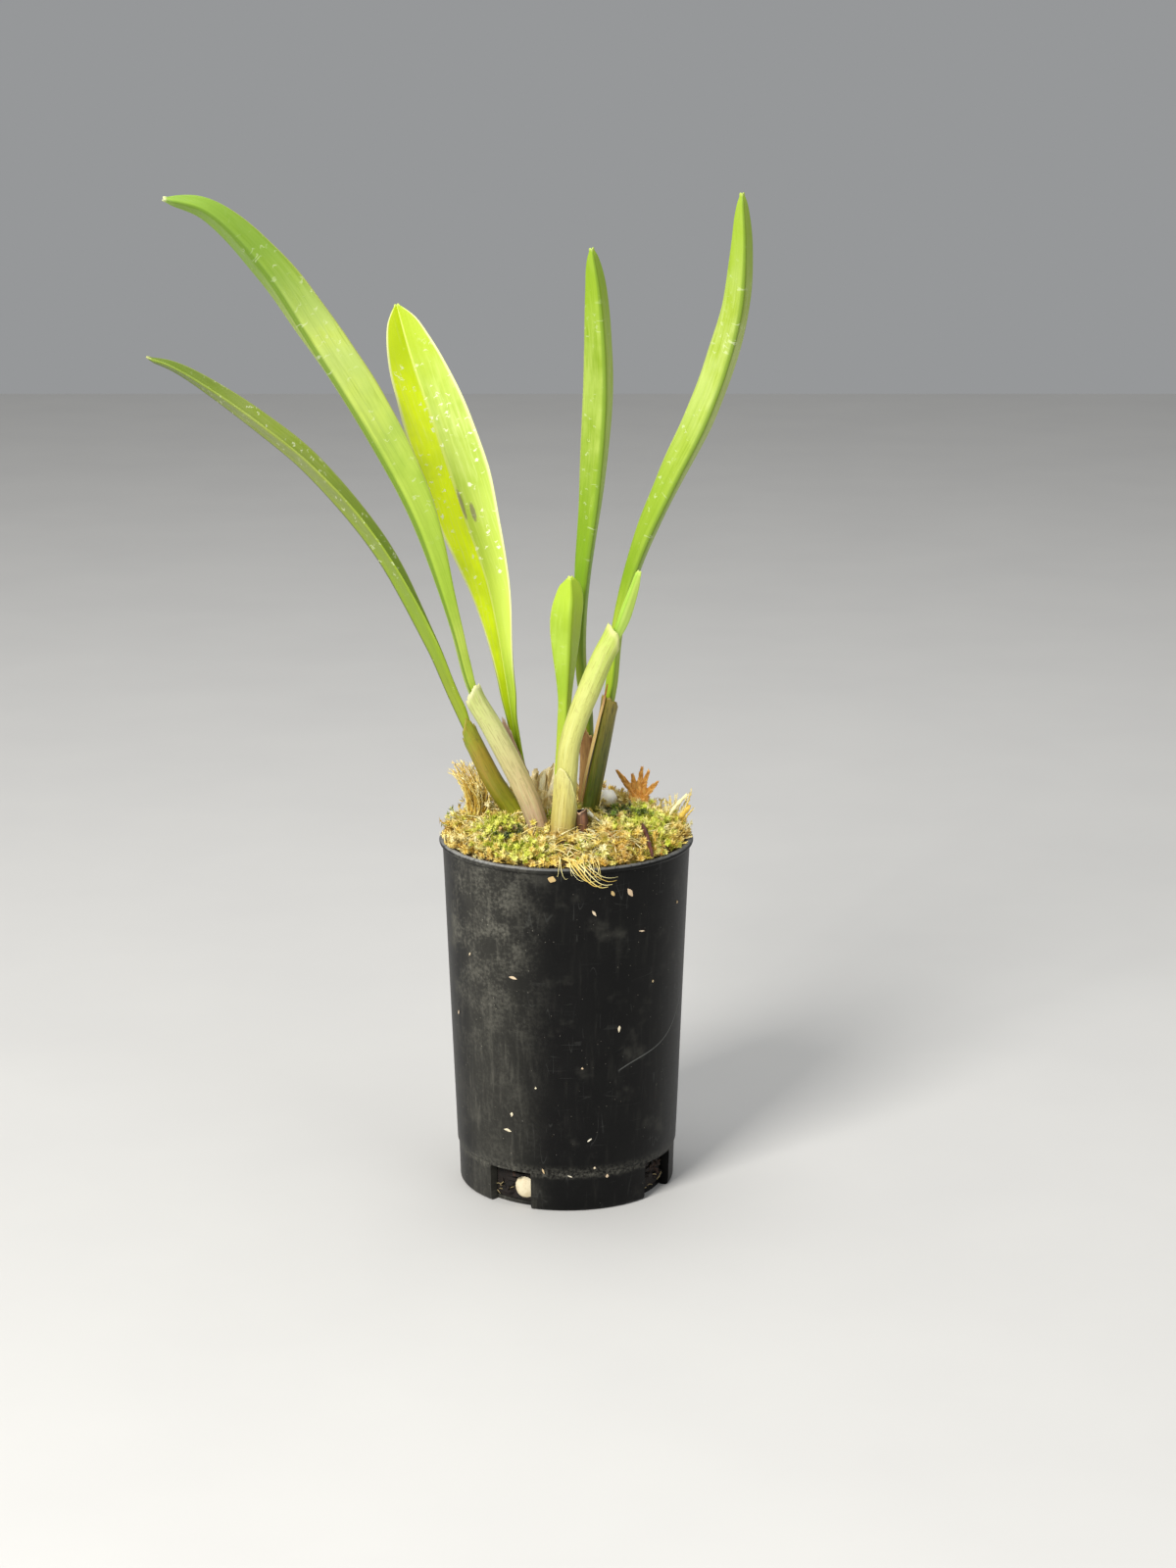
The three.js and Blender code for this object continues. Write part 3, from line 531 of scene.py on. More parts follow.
def buildPot():
    bead = []
    half = pot["beadHeight"] / 2
    centre = pot["height"] - half
    for k in range(13):
        turn = math.radians(-80 + 200 * k / 12)
        bead.append((pot["beadRadius"] - half + half * math.cos(turn), centre + half * math.sin(turn)))
    inside = [(pot["wallTopRadius"] - pot["wall"], pot["height"] - 0.5)]
    lowRadius = pot["stepRadius"] - pot["wall"]
    inside += [(lerp(inside[0][0], lowRadius, k / 12), lerp(inside[0][1], 6, k / 12)) for k in range(1, 13)]
    inside += [(pot["baseRadius"] - pot["wall"] - 0.5, pot["floor"]), (0, pot["floor"])]
    shell = newObject("shell", turnedMesh(potOutline() + bead + inside, pot["segments"]))
    inner = pot["baseRadius"] - pot["notchDepth"]
    returnSpread = math.degrees(pot["wall"] / pot["baseRadius"])
    housings = sectorBlocks("housings", returnSpread, inner, 29.5, 0.4, pot["notchHeight"] + pot["wall"])
    openings = sectorBlocks("openings", 0, inner - 0.5, 36, -1, pot["notchHeight"])
    for blocks, operation in ((housings, "UNION"), (openings, "DIFFERENCE")):
        cut = shell.modifiers.new(operation, "BOOLEAN")
        cut.operation = operation
        cut.solver = "EXACT"
        cut.object = blocks
    bpy.context.view_layer.update()
    shown = shell.evaluated_get(bpy.context.evaluated_depsgraph_get())
    mesh = bpy.data.meshes.new_from_object(shown)
    for scrap in (shell, housings, openings):
        bpy.data.objects.remove(scrap)
    points = np.zeros(len(mesh.vertices) * 3)
    mesh.vertices.foreach_get("co", points)
    points = points.reshape(-1, 3)
    angle = np.arctan2(points[:, 0], -points[:, 1])
    height = points[:, 2] / mm
    # a thin moulded wall is never quite true
    wobble = 0.10 * np.sin(2 * angle + 0.6) * smooth(height / 60) * (1 - smooth((height - 90) / 9))
    free = smooth((height - 12) / 20) * (1 - smooth((height - 85) / 12))
    wobble += 0.05 * np.sin(5 * angle + height * 0.05) * free
    radius = np.hypot(points[:, 0], points[:, 1])
    points[:, :2] *= (1 + wobble * mm / np.maximum(radius, 0.01))[:, None]
    mesh.vertices.foreach_set("co", points.ravel())
    mesh.shade_smooth()
    return mesh


def potFinish():
    f = Finish("dustyBlackPlastic")
    x, y, z = f.axes()
    angle = f.maths("ARCTAN2", x, y * -1) * (180 / math.pi)
    height = z * 1000
    wall = f.vector(angle * 0.58, height, 0.0)
    streaky = f.vector(angle * 0.58, height * 0.16, 3.0)
    sideways = f.vector(angle * 0.05, height, 9.0)
    cloud = f.noise(0.11, 3, wall)
    fine = f.noise(0.9, 4, wall, 0.65)
    streaks = f.noise(0.55, 4, streaky, 0.6)
    left = f.mask(angle, -96, -62) * (1 - f.mask(angle, -40, -2))
    upper = f.mask(height, 30, 92)
    notchDust = f.mask(height, 14, 11) * f.mask(height, 9, 10.5) * f.mask(fine, 0.35, 0.7) * 0.4
    smear = f.mask(cloud * 0.5 + fine * 0.5, 0.44, 0.68) * left * (0.25 + upper * 0.75)
    rub = f.mask(streaks, 0.52, 0.8) * (0.1 + left * 0.45)
    back = f.mask(f.noise(0.07, 4, wall, 0.6), 0.54, 0.78) * 0.22
    specks = 1 - f.mask(f.spots(0.55, wall), 0.035, 0.07)
    specks = specks * f.mask(f.noise(0.12, 2, wall), 0.40, 0.55) * (0.45 + left * 0.5)
    dust = f.maths("MINIMUM", smear * 0.75 + rub * 0.5 + back + notchDust, 1.0)
    lines = []
    for at, scale, low in ((streaky, 0.24, 0.003), (sideways, 0.3, 0.0025)):
        contour = f.maths("ABSOLUTE", f.noise(scale, 1, at) - 0.5)
        lines.append((1 - f.mask(contour, low, low * 3)) * f.mask(f.noise(0.16, 2, wall), 0.5, 0.62))
    angles, heights = zip(*potLook["longScratch"])
    cubic = np.polyfit(angles, heights, 3)
    curve = cubic[3] + angle * (cubic[2] + angle * (cubic[1] + angle * cubic[0]))
    offset = f.maths("ABSOLUTE", height - curve)
    long = (1 - f.mask(offset, 0.08, 0.26)) * f.mask(angle, 26, 28) * (1 - f.mask(angle, 78, 82))
    long = long * (0.45 + f.noise(0.6, 2, wall) * 0.6)
    scratch = f.maths("MINIMUM", lines[0] * 0.12 + lines[1] * 0.1 + long, 1.0)
    # a pale line along the top of the bead, stronger on the left: partly a worn edge, partly a painted
    # highlight where the light catches the lip
    bead = f.mask(height, 98.35, 98.75) * (0.5 + left * 0.5) * f.mask(fine, 0.3, 0.5)
    colour = f.blend(fine * 0.6 * f.mask(cloud, 0.35, 0.7), potLook["black"], potLook["worn"])
    # a painted highlight: a lighter band down the left side of the wall, where the light falls
    sheen = f.mask(angle, -66, -50) * (1 - f.mask(angle, -42, -4)) * (0.6 + streaks * 0.8)
    colour = f.over(colour, (sheen * 0.55, potLook["sheen"]), (dust * 0.6, potLook["dust"]),
                    (scratch * 0.6, potLook["scratch"]), (specks, potLook["specks"]),
                    (bead * 0.75, potLook["bead"]))
    rough = 0.34 + dust * 0.3 + fine * 0.14
    relief = fine * 0.4 - scratch * 1.2 + f.noise(0.35, 2, wall) * 0.8
    return f.surface(colour, rough, relief, 0.00006, 0.5, Specular_IOR_Level=0.14)


def buildFlecks():
    random = np.random.default_rng(potLook["fleckSeed"])
    growth = Growth()
    for angle, height, length, width, turn in potFlecks:
        radius = wallRadius(height)
        a = math.radians(angle)
        out = np.array([math.sin(a), -math.cos(a), 0.03])
        level, upright = np.array([math.cos(a), math.sin(a), 0]), np.array([0.03 * math.sin(a), 0, 1])
        s, c = math.sin(math.radians(turn)), math.cos(math.radians(turn))
        long, wide = level * c + upright * s, upright * c - level * s
        rows, columns = 9, 7
        u, v = np.meshgrid(np.linspace(-1, 1, rows), np.linspace(-1, 1, columns), indexing="ij")
        edge = (1 - np.abs(u) ** 1.6) * (1 + 0.3 * waves(int(turn) + 99, 2.2, u, v)) + 0.12
        lift = 0.1 + 0.1 * (1 - u ** 2) * (1 - v ** 2) + 0.06 * waves(int(height), 3, u, v)
        centre = out * (radius + 0.02) * np.array([1, 1, 0]) + np.array([0, 0, height])
        points = (centre + long * (u * length / 2)[..., None] + wide * (v * edge * width / 2)[..., None]
                  + out * (np.maximum(lift, 0.05) - 0.0007 * (u * length) ** 2)[..., None])
        growth.add(points * mm, gridFaces(rows, columns), tint=random.uniform(0, 1))
    return growth


def fleckFinish():
    f = Finish("dryFlecks")
    colour = f.ramp(f.value("tint"), [(0, (232, 224, 196)), (0.5, (214, 190, 160)), (0.8, (196, 168, 110)),
                                      (1, (236, 232, 214))])
    grain = f.noise(1400, 2)
    return f.surface(f.blend(grain * 0.4, colour, (150, 118, 78)), 0.7 + grain * 0.1, grain, 0.0001, 0.4)


dress("pot", buildPot(), potFinish(), sharpAngle=38)
addPiece("potFlecks", buildFlecks().mesh("potFlecks"), fleckFinish(), "pot")

# Growing mix and creeping stem keep their modelled solids, and finer bark stands in the notches
# the mix is near black: its own dark brown, taken darker as painted shade for the deep notches where it shows
mixLook = {"seed": 8, "dark": (8, 6, 5), "brown": (28, 17, 10), "moss": (26, 24, 12), "chipsPerNotch": 15}
pebble = {"centre": (-10.4, -24.1, 5.2), "size": (3.65, 1.4, 3.65), "turn": -14}


def barkFinish(name, dark, brown):
    f = Finish(name)
    lumps = f.noise(260, 4, rough=0.65)
    grain = f.noise(1100, 3)
    colour = f.ramp(lumps, [(0.3, dark), (0.5, brown), (0.62, dark), (0.75, mixLook["moss"])])
    return f.surface(f.blend(grain * 0.5, colour, dark), 0.8 + grain * 0.15, lumps + grain * 0.4, 0.0008, 0.8)


def buildBarkChips():
    random = np.random.default_rng(mixLook["seed"])
    growth = Growth()
    for middle in pot["notchAngles"]:
        for _ in range(mixLook["chipsPerNotch"]):
            a = math.radians(middle + random.uniform(-10.4, 10.4))
            centre = np.array([math.sin(a), -math.cos(a), 0]) * random.uniform(26.8, 27.9)
            centre[2] = random.uniform(2.3, 9.4)
            if np.hypot(centre[0] - pebble["centre"][0], centre[2] - pebble["centre"][2]) < 4.9:
                continue
            axis = unit(random.normal(size=3))
            side = unit(np.cross(axis, random.normal(size=3)))
            third = np.cross(axis, side)
            size = random.uniform((0.9, 0.45, 0.3), (1.9, 0.9, 0.6))
            polar, around = np.meshgrid(np.linspace(0, math.pi, 7), fullTurn(8), indexing="ij")
            ball = np.stack([np.cos(polar), np.sin(polar) * np.cos(around), np.sin(polar) * np.sin(around)],
                            -1)
            blunt = np.sign(ball) * np.abs(ball) ** 0.7
            bump = 1 + 0.12 * waves(int(random.integers(999)), 2.4, ball[..., 0], ball[..., 1], ball[..., 2])
            local = blunt * bump[..., None] * size
            points = centre + local[..., :1] * axis + local[..., 1:2] * side + local[..., 2:] * third
            growth.add(points * mm, gridFaces(7, 8, closed=True), tint=random.uniform(0, 1))
        # pale rootlets and moss threads among the bark
        count = 9
        a = np.radians(middle + random.uniform(-10, 10, count))
        roots = np.stack([np.sin(a) * 27.9, -np.cos(a) * 27.9, random.uniform(1.8, 5, count)], -1) * mm
        roots = roots[np.hypot(roots[:, 0] / mm - pebble["centre"][0],
                               roots[:, 1] / mm - pebble["centre"][1]) > 5]
        count = len(roots)
        paths = grownPaths(roots, random.uniform(0, anyTurn, count), random.uniform(-0.5, 0.9, count),
                           random.uniform(1.5, 3.2, count) * mm, 7, random, 1.6, 1.2)
        reach = np.linalg.norm(paths[..., :2], axis=-1, keepdims=True)
        paths[..., :2] *= np.clip(reach, 0.0272, 0.0284) / reach
        paths[..., 2] = np.maximum(paths[..., 2], 1.4 * mm)
        frames = pathFrames(paths, random)
        growth.add(tubePoints(paths, frames, 0.12 * mm, 4), tubeFaces(count, 7, 4), tint=1.6)
    return growth


def chipFinish():
    f = Finish("barkChips")
    tint = f.value("tint")
    grain = f.noise(900, 4, rough=0.6)
    colour = f.ramp(tint * 0.6, [(0, (14, 10, 8)), (0.25, (34, 20, 12)), (0.45, (60, 36, 20)),
                                 (0.6, (24, 16, 10)), (0.8, (120, 96, 58)), (1, (190, 172, 124))])
    return f.surface(f.blend(grain * 0.55, colour, (20, 14, 10)), 0.75 + grain * 0.2, grain, 0.0003, 0.8)


def dressNode(name, finish):
    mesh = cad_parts[name].data
    mesh.materials.clear()
    mesh.materials.append(finish.material)


dressNode("growing_mix", barkFinish("dampMixPaintedShade", mixLook["dark"], mixLook["brown"]))
dressNode("rhizome", barkFinish("woodyStem", (96, 78, 48), (150, 128, 84)))
addPiece("barkChips", buildBarkChips().mesh("barkChips"), chipFinish(), "growing_mix")
print("pot and mix done")

# Leaves: centre line of the upper face, the way that face looks, fold and outline
leaves = {
    "leaf_1": {
        "spine": [(-6.5, -8.5, 99.7), (-10.2, -9, 111.5), (-19.3, -9.5, 130.5), (-25.4, -10, 142),
                  (-30.2, -11, 160), (-39.6, -13, 189), (-50.6, -15, 211), (-65.6, -18, 236.5),
                  (-78, -20.5, 256.3), (-91.8, -24, 271), (-103, -25, 274.4)],
        "facing": [160, 158, 155, 154, 154, 166, 175], "fold": [55, 58, 62, 60, 60, 57, 56],
        "halfWidth": 10.2, "bladeStart": 0.275, "widest": 0.64, "tipPower": 1.7,
        "swellFrom": 44, "stalkHalf": 2.2,
        # on leaf 1 the lighter under colour of the left half is painted light on the half that turns away from
        # the light, and the dark tip colour from tipFrom on is painted shade where the blade arches away from
        # the light
        "upper": ((104, 140, 20), (96, 132, 20)), "under": ((186, 204, 86), (168, 190, 68)),
        "keel": (92, 122, 26), "margin": (206, 216, 110), "foot": (160, 184, 58), "tip": (96, 138, 8),
        "scurf": 0.28, "ripple": 0.25, "phase": 0.4, "deep": (152, 190, 40), "bloom": (194, 212, 124),
        "tipPoint": (226, 222, 180), "tipFrom": 0.82,
    },
    "leaf_2": {
        "spine": [(-11.5, 4, 99.7), (-15.5, 4.5, 106), (-20.4, 5, 113.6), (-31.2, 7, 136), (-37.4, 8, 151),
                  (-50.9, 10, 176.3), (-69.4, 12, 198.4), (-82.4, 12, 209.8), (-95.3, 12, 219.6),
                  (-105.6, 12, 226.2), (-113.3, 12, 229.4)],
        "facing": [110, 100, 95, 92, 90, 88, 90], "fold": [55, 48, 36, 28, 24, 22, 20],
        "halfWidth": 8.6, "bladeStart": 0.24, "widest": 0.66, "tipPower": 2,
        "swellFrom": 29, "stalkHalf": 3.3,
        "upper": ((130, 152, 28), (130, 152, 28)), "under": ((132, 150, 36), (126, 146, 30)),
        "keel": (86, 100, 28), "margin": (184, 198, 96), "foot": (142, 160, 32), "tip": (92, 116, 14),
        "scurf": 0.6, "ripple": 0.2, "phase": 1.9, "deep": (130, 160, 28), "bloom": (152, 164, 88),
        "tipPoint": (200, 200, 140), "nearRim": 0.12,
    },
    "leaf_3": {
        "spine": [(-6.5, 2, 99.7), (-8.6, 2, 107.4), (-12, 2, 115.7), (-14.8, 3, 130.7), (-16.7, 5, 142.7),
                  (-21.2, 9, 166.5), (-27.8, 13, 186.1), (-35.8, 17, 209.7), (-42.1, 21, 227.9),
                  (-46.2, 24, 242.4)],
        "facing": [5, 5, 7, 10, 15, 14, 8], "fold": [55, 56, 53, 49, 45, 46, 44],
        "halfWidth": 12, "bladeStart": 0.26, "widest": 0.7, "tipPower": 2.2,
        "swellFrom": 31, "stalkHalf": 3.1,
        # the upper colours of the halves are painted light: the saturated yellow of the left half stands for
        # light shining through the half that faces away from the light, the paler right half for the lit one
        "upper": ((236, 250, 0), (166, 190, 68)), "under": ((160, 184, 50), (160, 184, 50)),
        "keel": (210, 222, 110), "margin": (232, 232, 176), "foot": (150, 176, 30), "tip": (172, 194, 14),
        "scurf": 1.0, "ripple": 0.35, "phase": 2.6, "deep": (200, 218, 92), "bloom": (216, 230, 140),
        "tipPoint": (206, 220, 130),
        "bruises": [(0.618, 0.03, 0.036, 0.07), (0.598, 0.29, 0.022, 0.09)], "plainLeft": 0.85,
    },
    "leaf_4": {
        "spine": [(5.5, 12, 99.7), (6.2, 12, 112), (6.1, 12, 129.5), (4.5, 11, 141.6), (4.3, 9.5, 155.5),
                  (5.2, 8, 169.4), (8.4, 6, 194), (10.2, 4, 220.9), (8.8, 2, 247.2), (6.9, 0, 259.8)],
        "facing": [190, 192, 196, 198, 197, 195, 190], "fold": [55, 58, 62, 65, 65, 63, 55],
        "halfWidth": 8.2, "bladeStart": 0.3, "widest": 0.72, "tipPower": 1.7,
        "swellFrom": 25, "stalkHalf": 2.0,
        # the lighter left and darker right under colours are painted light and painted shade on the two sides
        # of the keel
        "upper": ((104, 142, 20), (104, 142, 20)), "under": ((164, 186, 62), (132, 160, 36)),
        "keel": (108, 138, 28), "margin": (192, 206, 100), "foot": (120, 134, 20), "tip": (140, 172, 34),
        "scurf": 0.28, "ripple": 0.25, "phase": 3.3, "deep": (104, 146, 10), "bloom": (184, 202, 106),
        "tipPoint": (190, 206, 110),
    },
    "leaf_5": {
        "spine": [(5.6, 5, 99.7), (7.8, 5.5, 112), (10.5, 5.5, 127), (12.6, 5, 139.9), (14.2, 5, 155),
                  (17.2, 5, 167.3), (22, 4, 181), (29.3, 3, 196.7), (37, 2, 212.5), (42.6, 2, 227.7),
                  (46.3, 1, 243.4), (47.2, 0, 259), (46.5, 0, 274.2)],
        "facing": [185, 188, 192, 195, 194, 192, 188], "fold": [55, 58, 62, 64, 64, 63, 55],
        "halfWidth": 8.4, "bladeStart": 0.3, "widest": 0.68, "tipPower": 1.8,
        "swellFrom": 33, "stalkHalf": 2.3,
        # the under colour of the right half is raised as painted light on the half that faces away from the
        # light
        "upper": ((104, 142, 20), (104, 142, 20)), "under": ((168, 186, 74), (158, 180, 60)),
        "keel": (106, 134, 28), "margin": (196, 210, 110), "foot": (140, 164, 24), "tip": (144, 174, 40),
        "scurf": 0.28, "ripple": 0.3, "phase": 4.1, "deep": (114, 150, 24), "bloom": (194, 208, 130),
        "tipPoint": (186, 200, 100),
    },
    "leaf_6": {
        "spine": [(-0.8, -3.5, 99.7), (-1.2, -3, 114), (-0.6, -2.5, 125), (0, -2, 137.4), (0.4, -1, 148),
                  (0.9, -0.5, 159), (1.5, 0, 165.5), (1.3, 0.3, 171.8)],
        "facing": [195, 196, 197, 197, 197, 196, 190], "fold": [55, 56, 55, 53, 50, 48, 44],
        "halfWidth": 5.8, "bladeStart": 0.5, "widest": 0.83, "tipPower": 2,
        "swellFrom": 8, "stalkHalf": 2.3,
        "upper": ((150, 182, 36), (150, 182, 36)), "under": ((176, 196, 58), (146, 174, 40)),
        "keel": (134, 160, 34), "margin": (200, 214, 100), "foot": (170, 188, 62), "tip": (172, 200, 52),
        "scurf": 0.1, "ripple": 0.15, "phase": 5.2, "deep": (128, 168, 34), "bloom": (172, 198, 84),
        "tipPoint": (206, 220, 120),
    },
    "leaf_7": {
        "spine": [(-1.3, -13, 99.7), (-0.3, -12.2, 111.1), (0.3, -11.8, 119.3), (1.1, -11.4, 127.3),
                  (3.5, -10.9, 135.4), (6.7, -10.3, 143.3), (10.1, -9.8, 151.4), (13.5, -9.3, 158),
                  (16.1, -9, 164.7), (19.8, -9, 175)],
        "facing": [150] * 7, "fold": [58, 60, 62, 64, 66, 68, 62],
        "halfWidth": 2.9, "bladeStart": 0.72, "widest": 0.84, "tipPower": 1.2,
        "swellFrom": 0, "stalkHalf": 1.5,
        "upper": ((168, 208, 60), (168, 208, 60)), "under": ((178, 214, 84), (150, 196, 52)),
        "keel": (150, 190, 60), "margin": (230, 236, 190), "foot": (190, 206, 110), "tip": (186, 214, 90),
        "scurf": 0.1, "ripple": 0.1, "phase": 0.9, "deep": (150, 190, 60), "bloom": (192, 214, 100),
        "tipPoint": (206, 214, 130),
    },
}
leafDefaults = {"tipFrom": 0.9, "nearRim": 0.8, "plainLeft": 0, "bruises": ()}
leafMake = {
    "rows": 150, "columns": 33, "stalkHalfWidth": 1.5, "stalkSwellRun": 10, "stalkThickness": 1,
    "keelThickness": 1.7, "marginThickness": 0.7, "tipHalfWidth": 0.9, "tipDent": 1.2,
    "foldRound": 0.035, "keelShare": 0.12,
}


def bladeHalfWidth(plan, u, length):
    swell = smooth((u * length - plan["swellFrom"]) / leafMake["stalkSwellRun"])
    stalk = lerp(leafMake["stalkHalfWidth"], plan["stalkHalf"], swell)
    rise = smooth((u - plan["bladeStart"]) / (plan["widest"] - plan["bladeStart"])) ** 0.8
    low = lerp(stalk, plan["halfWidth"], rise)
    v = np.clip((u - plan["widest"]) / (1 - plan["widest"]), 0, 1)
    high = np.maximum(plan["halfWidth"] * (1 - v ** plan["tipPower"]) ** 0.62, leafMake["tipHalfWidth"])
    return np.where(u < plan["widest"], low, high)


def buildLeaf(plan):
    spine = Spine(plan["spine"])
    length = spine.length / mm
    rows, columns = leafMake["rows"], leafMake["columns"]
    u = np.linspace(0, 1, rows) ** 0.8
    u = np.where(u > 0.8, 0.8 + 0.2 * (1 - ((1 - u) / 0.2) ** 1.35), u)[:, None]
    turn = np.linspace(-1, 1, columns)
    share = (np.sign(turn) * np.abs(turn) ** 1.15)[None, :] * np.ones_like(u)
    reach = np.abs(share)
    # a softly rounded channel instead of a knife fold
    soft = np.sqrt(reach ** 2 + leafMake["foldRound"] ** 2) - leafMake["foldRound"]
    half = bladeHalfWidth(plan, u, length)
    fold = np.radians(along(plan["fold"], u))
    bladeShare = smooth((u - plan["bladeStart"]) / 0.2)
    keel = lerp(leafMake["stalkThickness"], leafMake["keelThickness"], bladeShare)
    keel = keel * (1 - 0.45 * smooth((u - 0.8) / 0.2))
    margin = lerp(leafMake["stalkThickness"], leafMake["marginThickness"], bladeShare)
    close = smooth((u - 0.955) / 0.045)
    dent = (0.45 * leafMake["tipDent"] * (1 - reach) ** 2 + 1.1 * reach ** 3) / length * close
    place = np.maximum(u - dent, 0)
    centre, tangent = spine.point(place), spine.tangent(place)
    up = facingDirection(tangent, along(plan["facing"], u) * np.ones_like(share))
    across = np.cross(tangent, up)
    side = np.sign(share)
    run = half * reach * np.cos(fold) * (1 + 0.12 * reach * bladeShare)
    lift = half * soft * np.sin(fold) * (1 - 0.16 * reach * bladeShare)
    # margins run in slow uneven ripples
    ripple = waves(int(plan["phase"] * 10), 1.0, u * 34, side * 1.4)
    lift = lift + plan["ripple"] * ripple * reach ** 3 * bladeShare * (1 - smooth((u - 0.93) / 0.07))
    upper = centre + ((side * run)[..., None] * across + lift[..., None] * up) * mm
    tuck = smooth(reach / leafMake["keelShare"])
    thickness = np.where(reach < leafMake["keelShare"], lerp(keel, keel * 0.75, tuck),
                         lerp(keel * 0.75, margin, reach))
    thickness = thickness * np.sqrt(np.clip(1 - reach ** 9, 0.05, 1))
    thickness = thickness * (1 - 0.5 * smooth((u - 0.985) / 0.015))
    drop = thickness * lerp(1, np.cos(fold), tuck)
    sway = thickness * np.sin(fold) * tuck
    lower = upper + (-drop[..., None] * up + (side * sway)[..., None] * across) * mm
    ring = np.concatenate([upper, lower[:, ::-1]], 1)
    under = np.concatenate([np.zeros_like(share), np.ones_like(share)], 1).ravel()
    growth = Growth()
    growth.add(ring, wrapFaces(rows, columns, [rows - 1]), under=under,
               along=doubled(u * np.ones_like(share)),
               across=doubled(share), sideways=doubled(share * half),
               lengthwise=doubled(u * length * np.ones_like(share)))
    return growth


def leafFinish(name, plan):
    f = Finish(name + "Skin")
    u, s, under = f.value("along"), f.value("across"), f.value("under")
    sideways, lengthwise = f.value("sideways"), f.value("lengthwise")
    reach = f.maths("ABSOLUTE", s)
    rightHalf = f.mask(s, -0.03, 0.03)
    onLeaf = f.vector(sideways, lengthwise * 0.10, under * 40 + plan["phase"])
    onSkin = f.vector(sideways, lengthwise, under * 40 + plan["phase"])
    streak = f.noise(1.1, 4, onLeaf, 0.6)
    veins = f.noise(2.4, 2, f.vector(sideways, lengthwise * 0.012, under * 40 + plan["phase"] + 7))
    cloud = f.noise(0.09, 3, onSkin)
    fine = f.noise(2.2, 3, onSkin, 0.6)
    onBlade = f.mask(u, plan["bladeStart"], plan["bladeStart"] + 0.1)
    # deeper green low on the blade, a pale bloom in long patches above that is partly a painted highlight,
    # less on a plain left half
    both = 1 - (1 - rightHalf) * plan["plainLeft"]
    low = (1 - f.mask(u, 0.38, 0.72)) * onBlade
    bloom = both * f.mask(u, 0.5, 0.76) * f.mask(cloud * 0.6 + streak * 0.4, 0.36, 0.6)
    rim = f.mask(reach, 0.90, 0.985) * onBlade * (plan["nearRim"] + rightHalf * (0.8 - plan["nearRim"]))
    # each face has one colour for the left half and one for the right; where they differ, the difference is
    # painted light and painted shade on the two halves of the fold
    colour = f.blend(under, f.blend(rightHalf, *plan["upper"]), f.blend(rightHalf, *plan["under"]))
    colour = f.over(
        colour,
        (f.mask(cloud, 0.4, 0.7) * 0.35, plan["tip"]),
        (f.mask(streak, 0.5, 0.8) * 0.30, plan["margin"]),
        (f.mask(streak, 0.48, 0.2) * 0.30, plan["keel"]),
        (f.mask(veins, 0.52, 0.66) * 0.28, plan["keel"]),
        (both * low * (0.4 + cloud * 0.5), plan["deep"]),
        (bloom * 0.5, plan["bloom"]),
        # the tip colour from tipFrom on, which on leaf 1 is painted shade
        (f.mask(u, plan["tipFrom"] - 0.12, plan["tipFrom"] + 0.05) * 0.75, plan["tip"]),
        (1 - f.mask(u, plan["bladeStart"] * 0.5, plan["bladeStart"] + 0.12), plan["foot"]),
        ((1 - f.mask(reach, 0.03, 0.07)) * 0.85, plan["keel"]),
        (rim, plan["margin"]),
        (f.mask(u, 0.994, 0.999) * 0.6, plan["tipPoint"]),
    )
    # whitish scurf in short wavy marks, in patches
    bend = f.vector(sideways * 0.26, lengthwise + f.noise(0.9, 1, onSkin) * 2.4, under * 40)
    flake = 1 - f.mask(f.spots(0.9, bend), 0.14, 0.24)
    patch = f.mask(f.noise(0.10, 3, onSkin), 0.33, 0.48) * f.mask(u, 0.4, 0.5) * (1 - f.mask(u, 0.84, 0.95))
    dot = (1 - f.mask(f.spots(0.5, onSkin), 0.05, 0.09)) * f.mask(fine, 0.4, 0.6)
    scurf = f.maths("MINIMUM", (flake * patch * 0.85 + dot * 0.5) * plan["scurf"], 1.0)
    colour = f.blend(scurf, colour, (238, 240, 214))
    for place, offset, long, wide in plan["bruises"]:
        far = f.maths("ABSOLUTE", u - place) / long
        near = f.maths("ABSOLUTE", s - offset) / wide
        stain = (1 - f.mask(far * far + near * near + (fine - 0.5) * 0.9, 0.3, 1.0)) * (1 - under)
        colour = f.blend(stain * 0.7, colour, (122, 104, 108))
    rough = 0.36 + scurf * 0.4 + fine * 0.12
    relief = streak * 0.8 + scurf * 0.4 + cloud * 0.5
    return f.surface(colour, rough, relief, 0.0001, 0.35, Specular_IOR_Level=0.35)


for leafName, leafPlan in leaves.items():
    leafPlan = {**leafDefaults, **leafPlan}
    dress(leafName, buildLeaf(leafPlan), leafFinish(camel(leafName), leafPlan))
print("leaves grown")

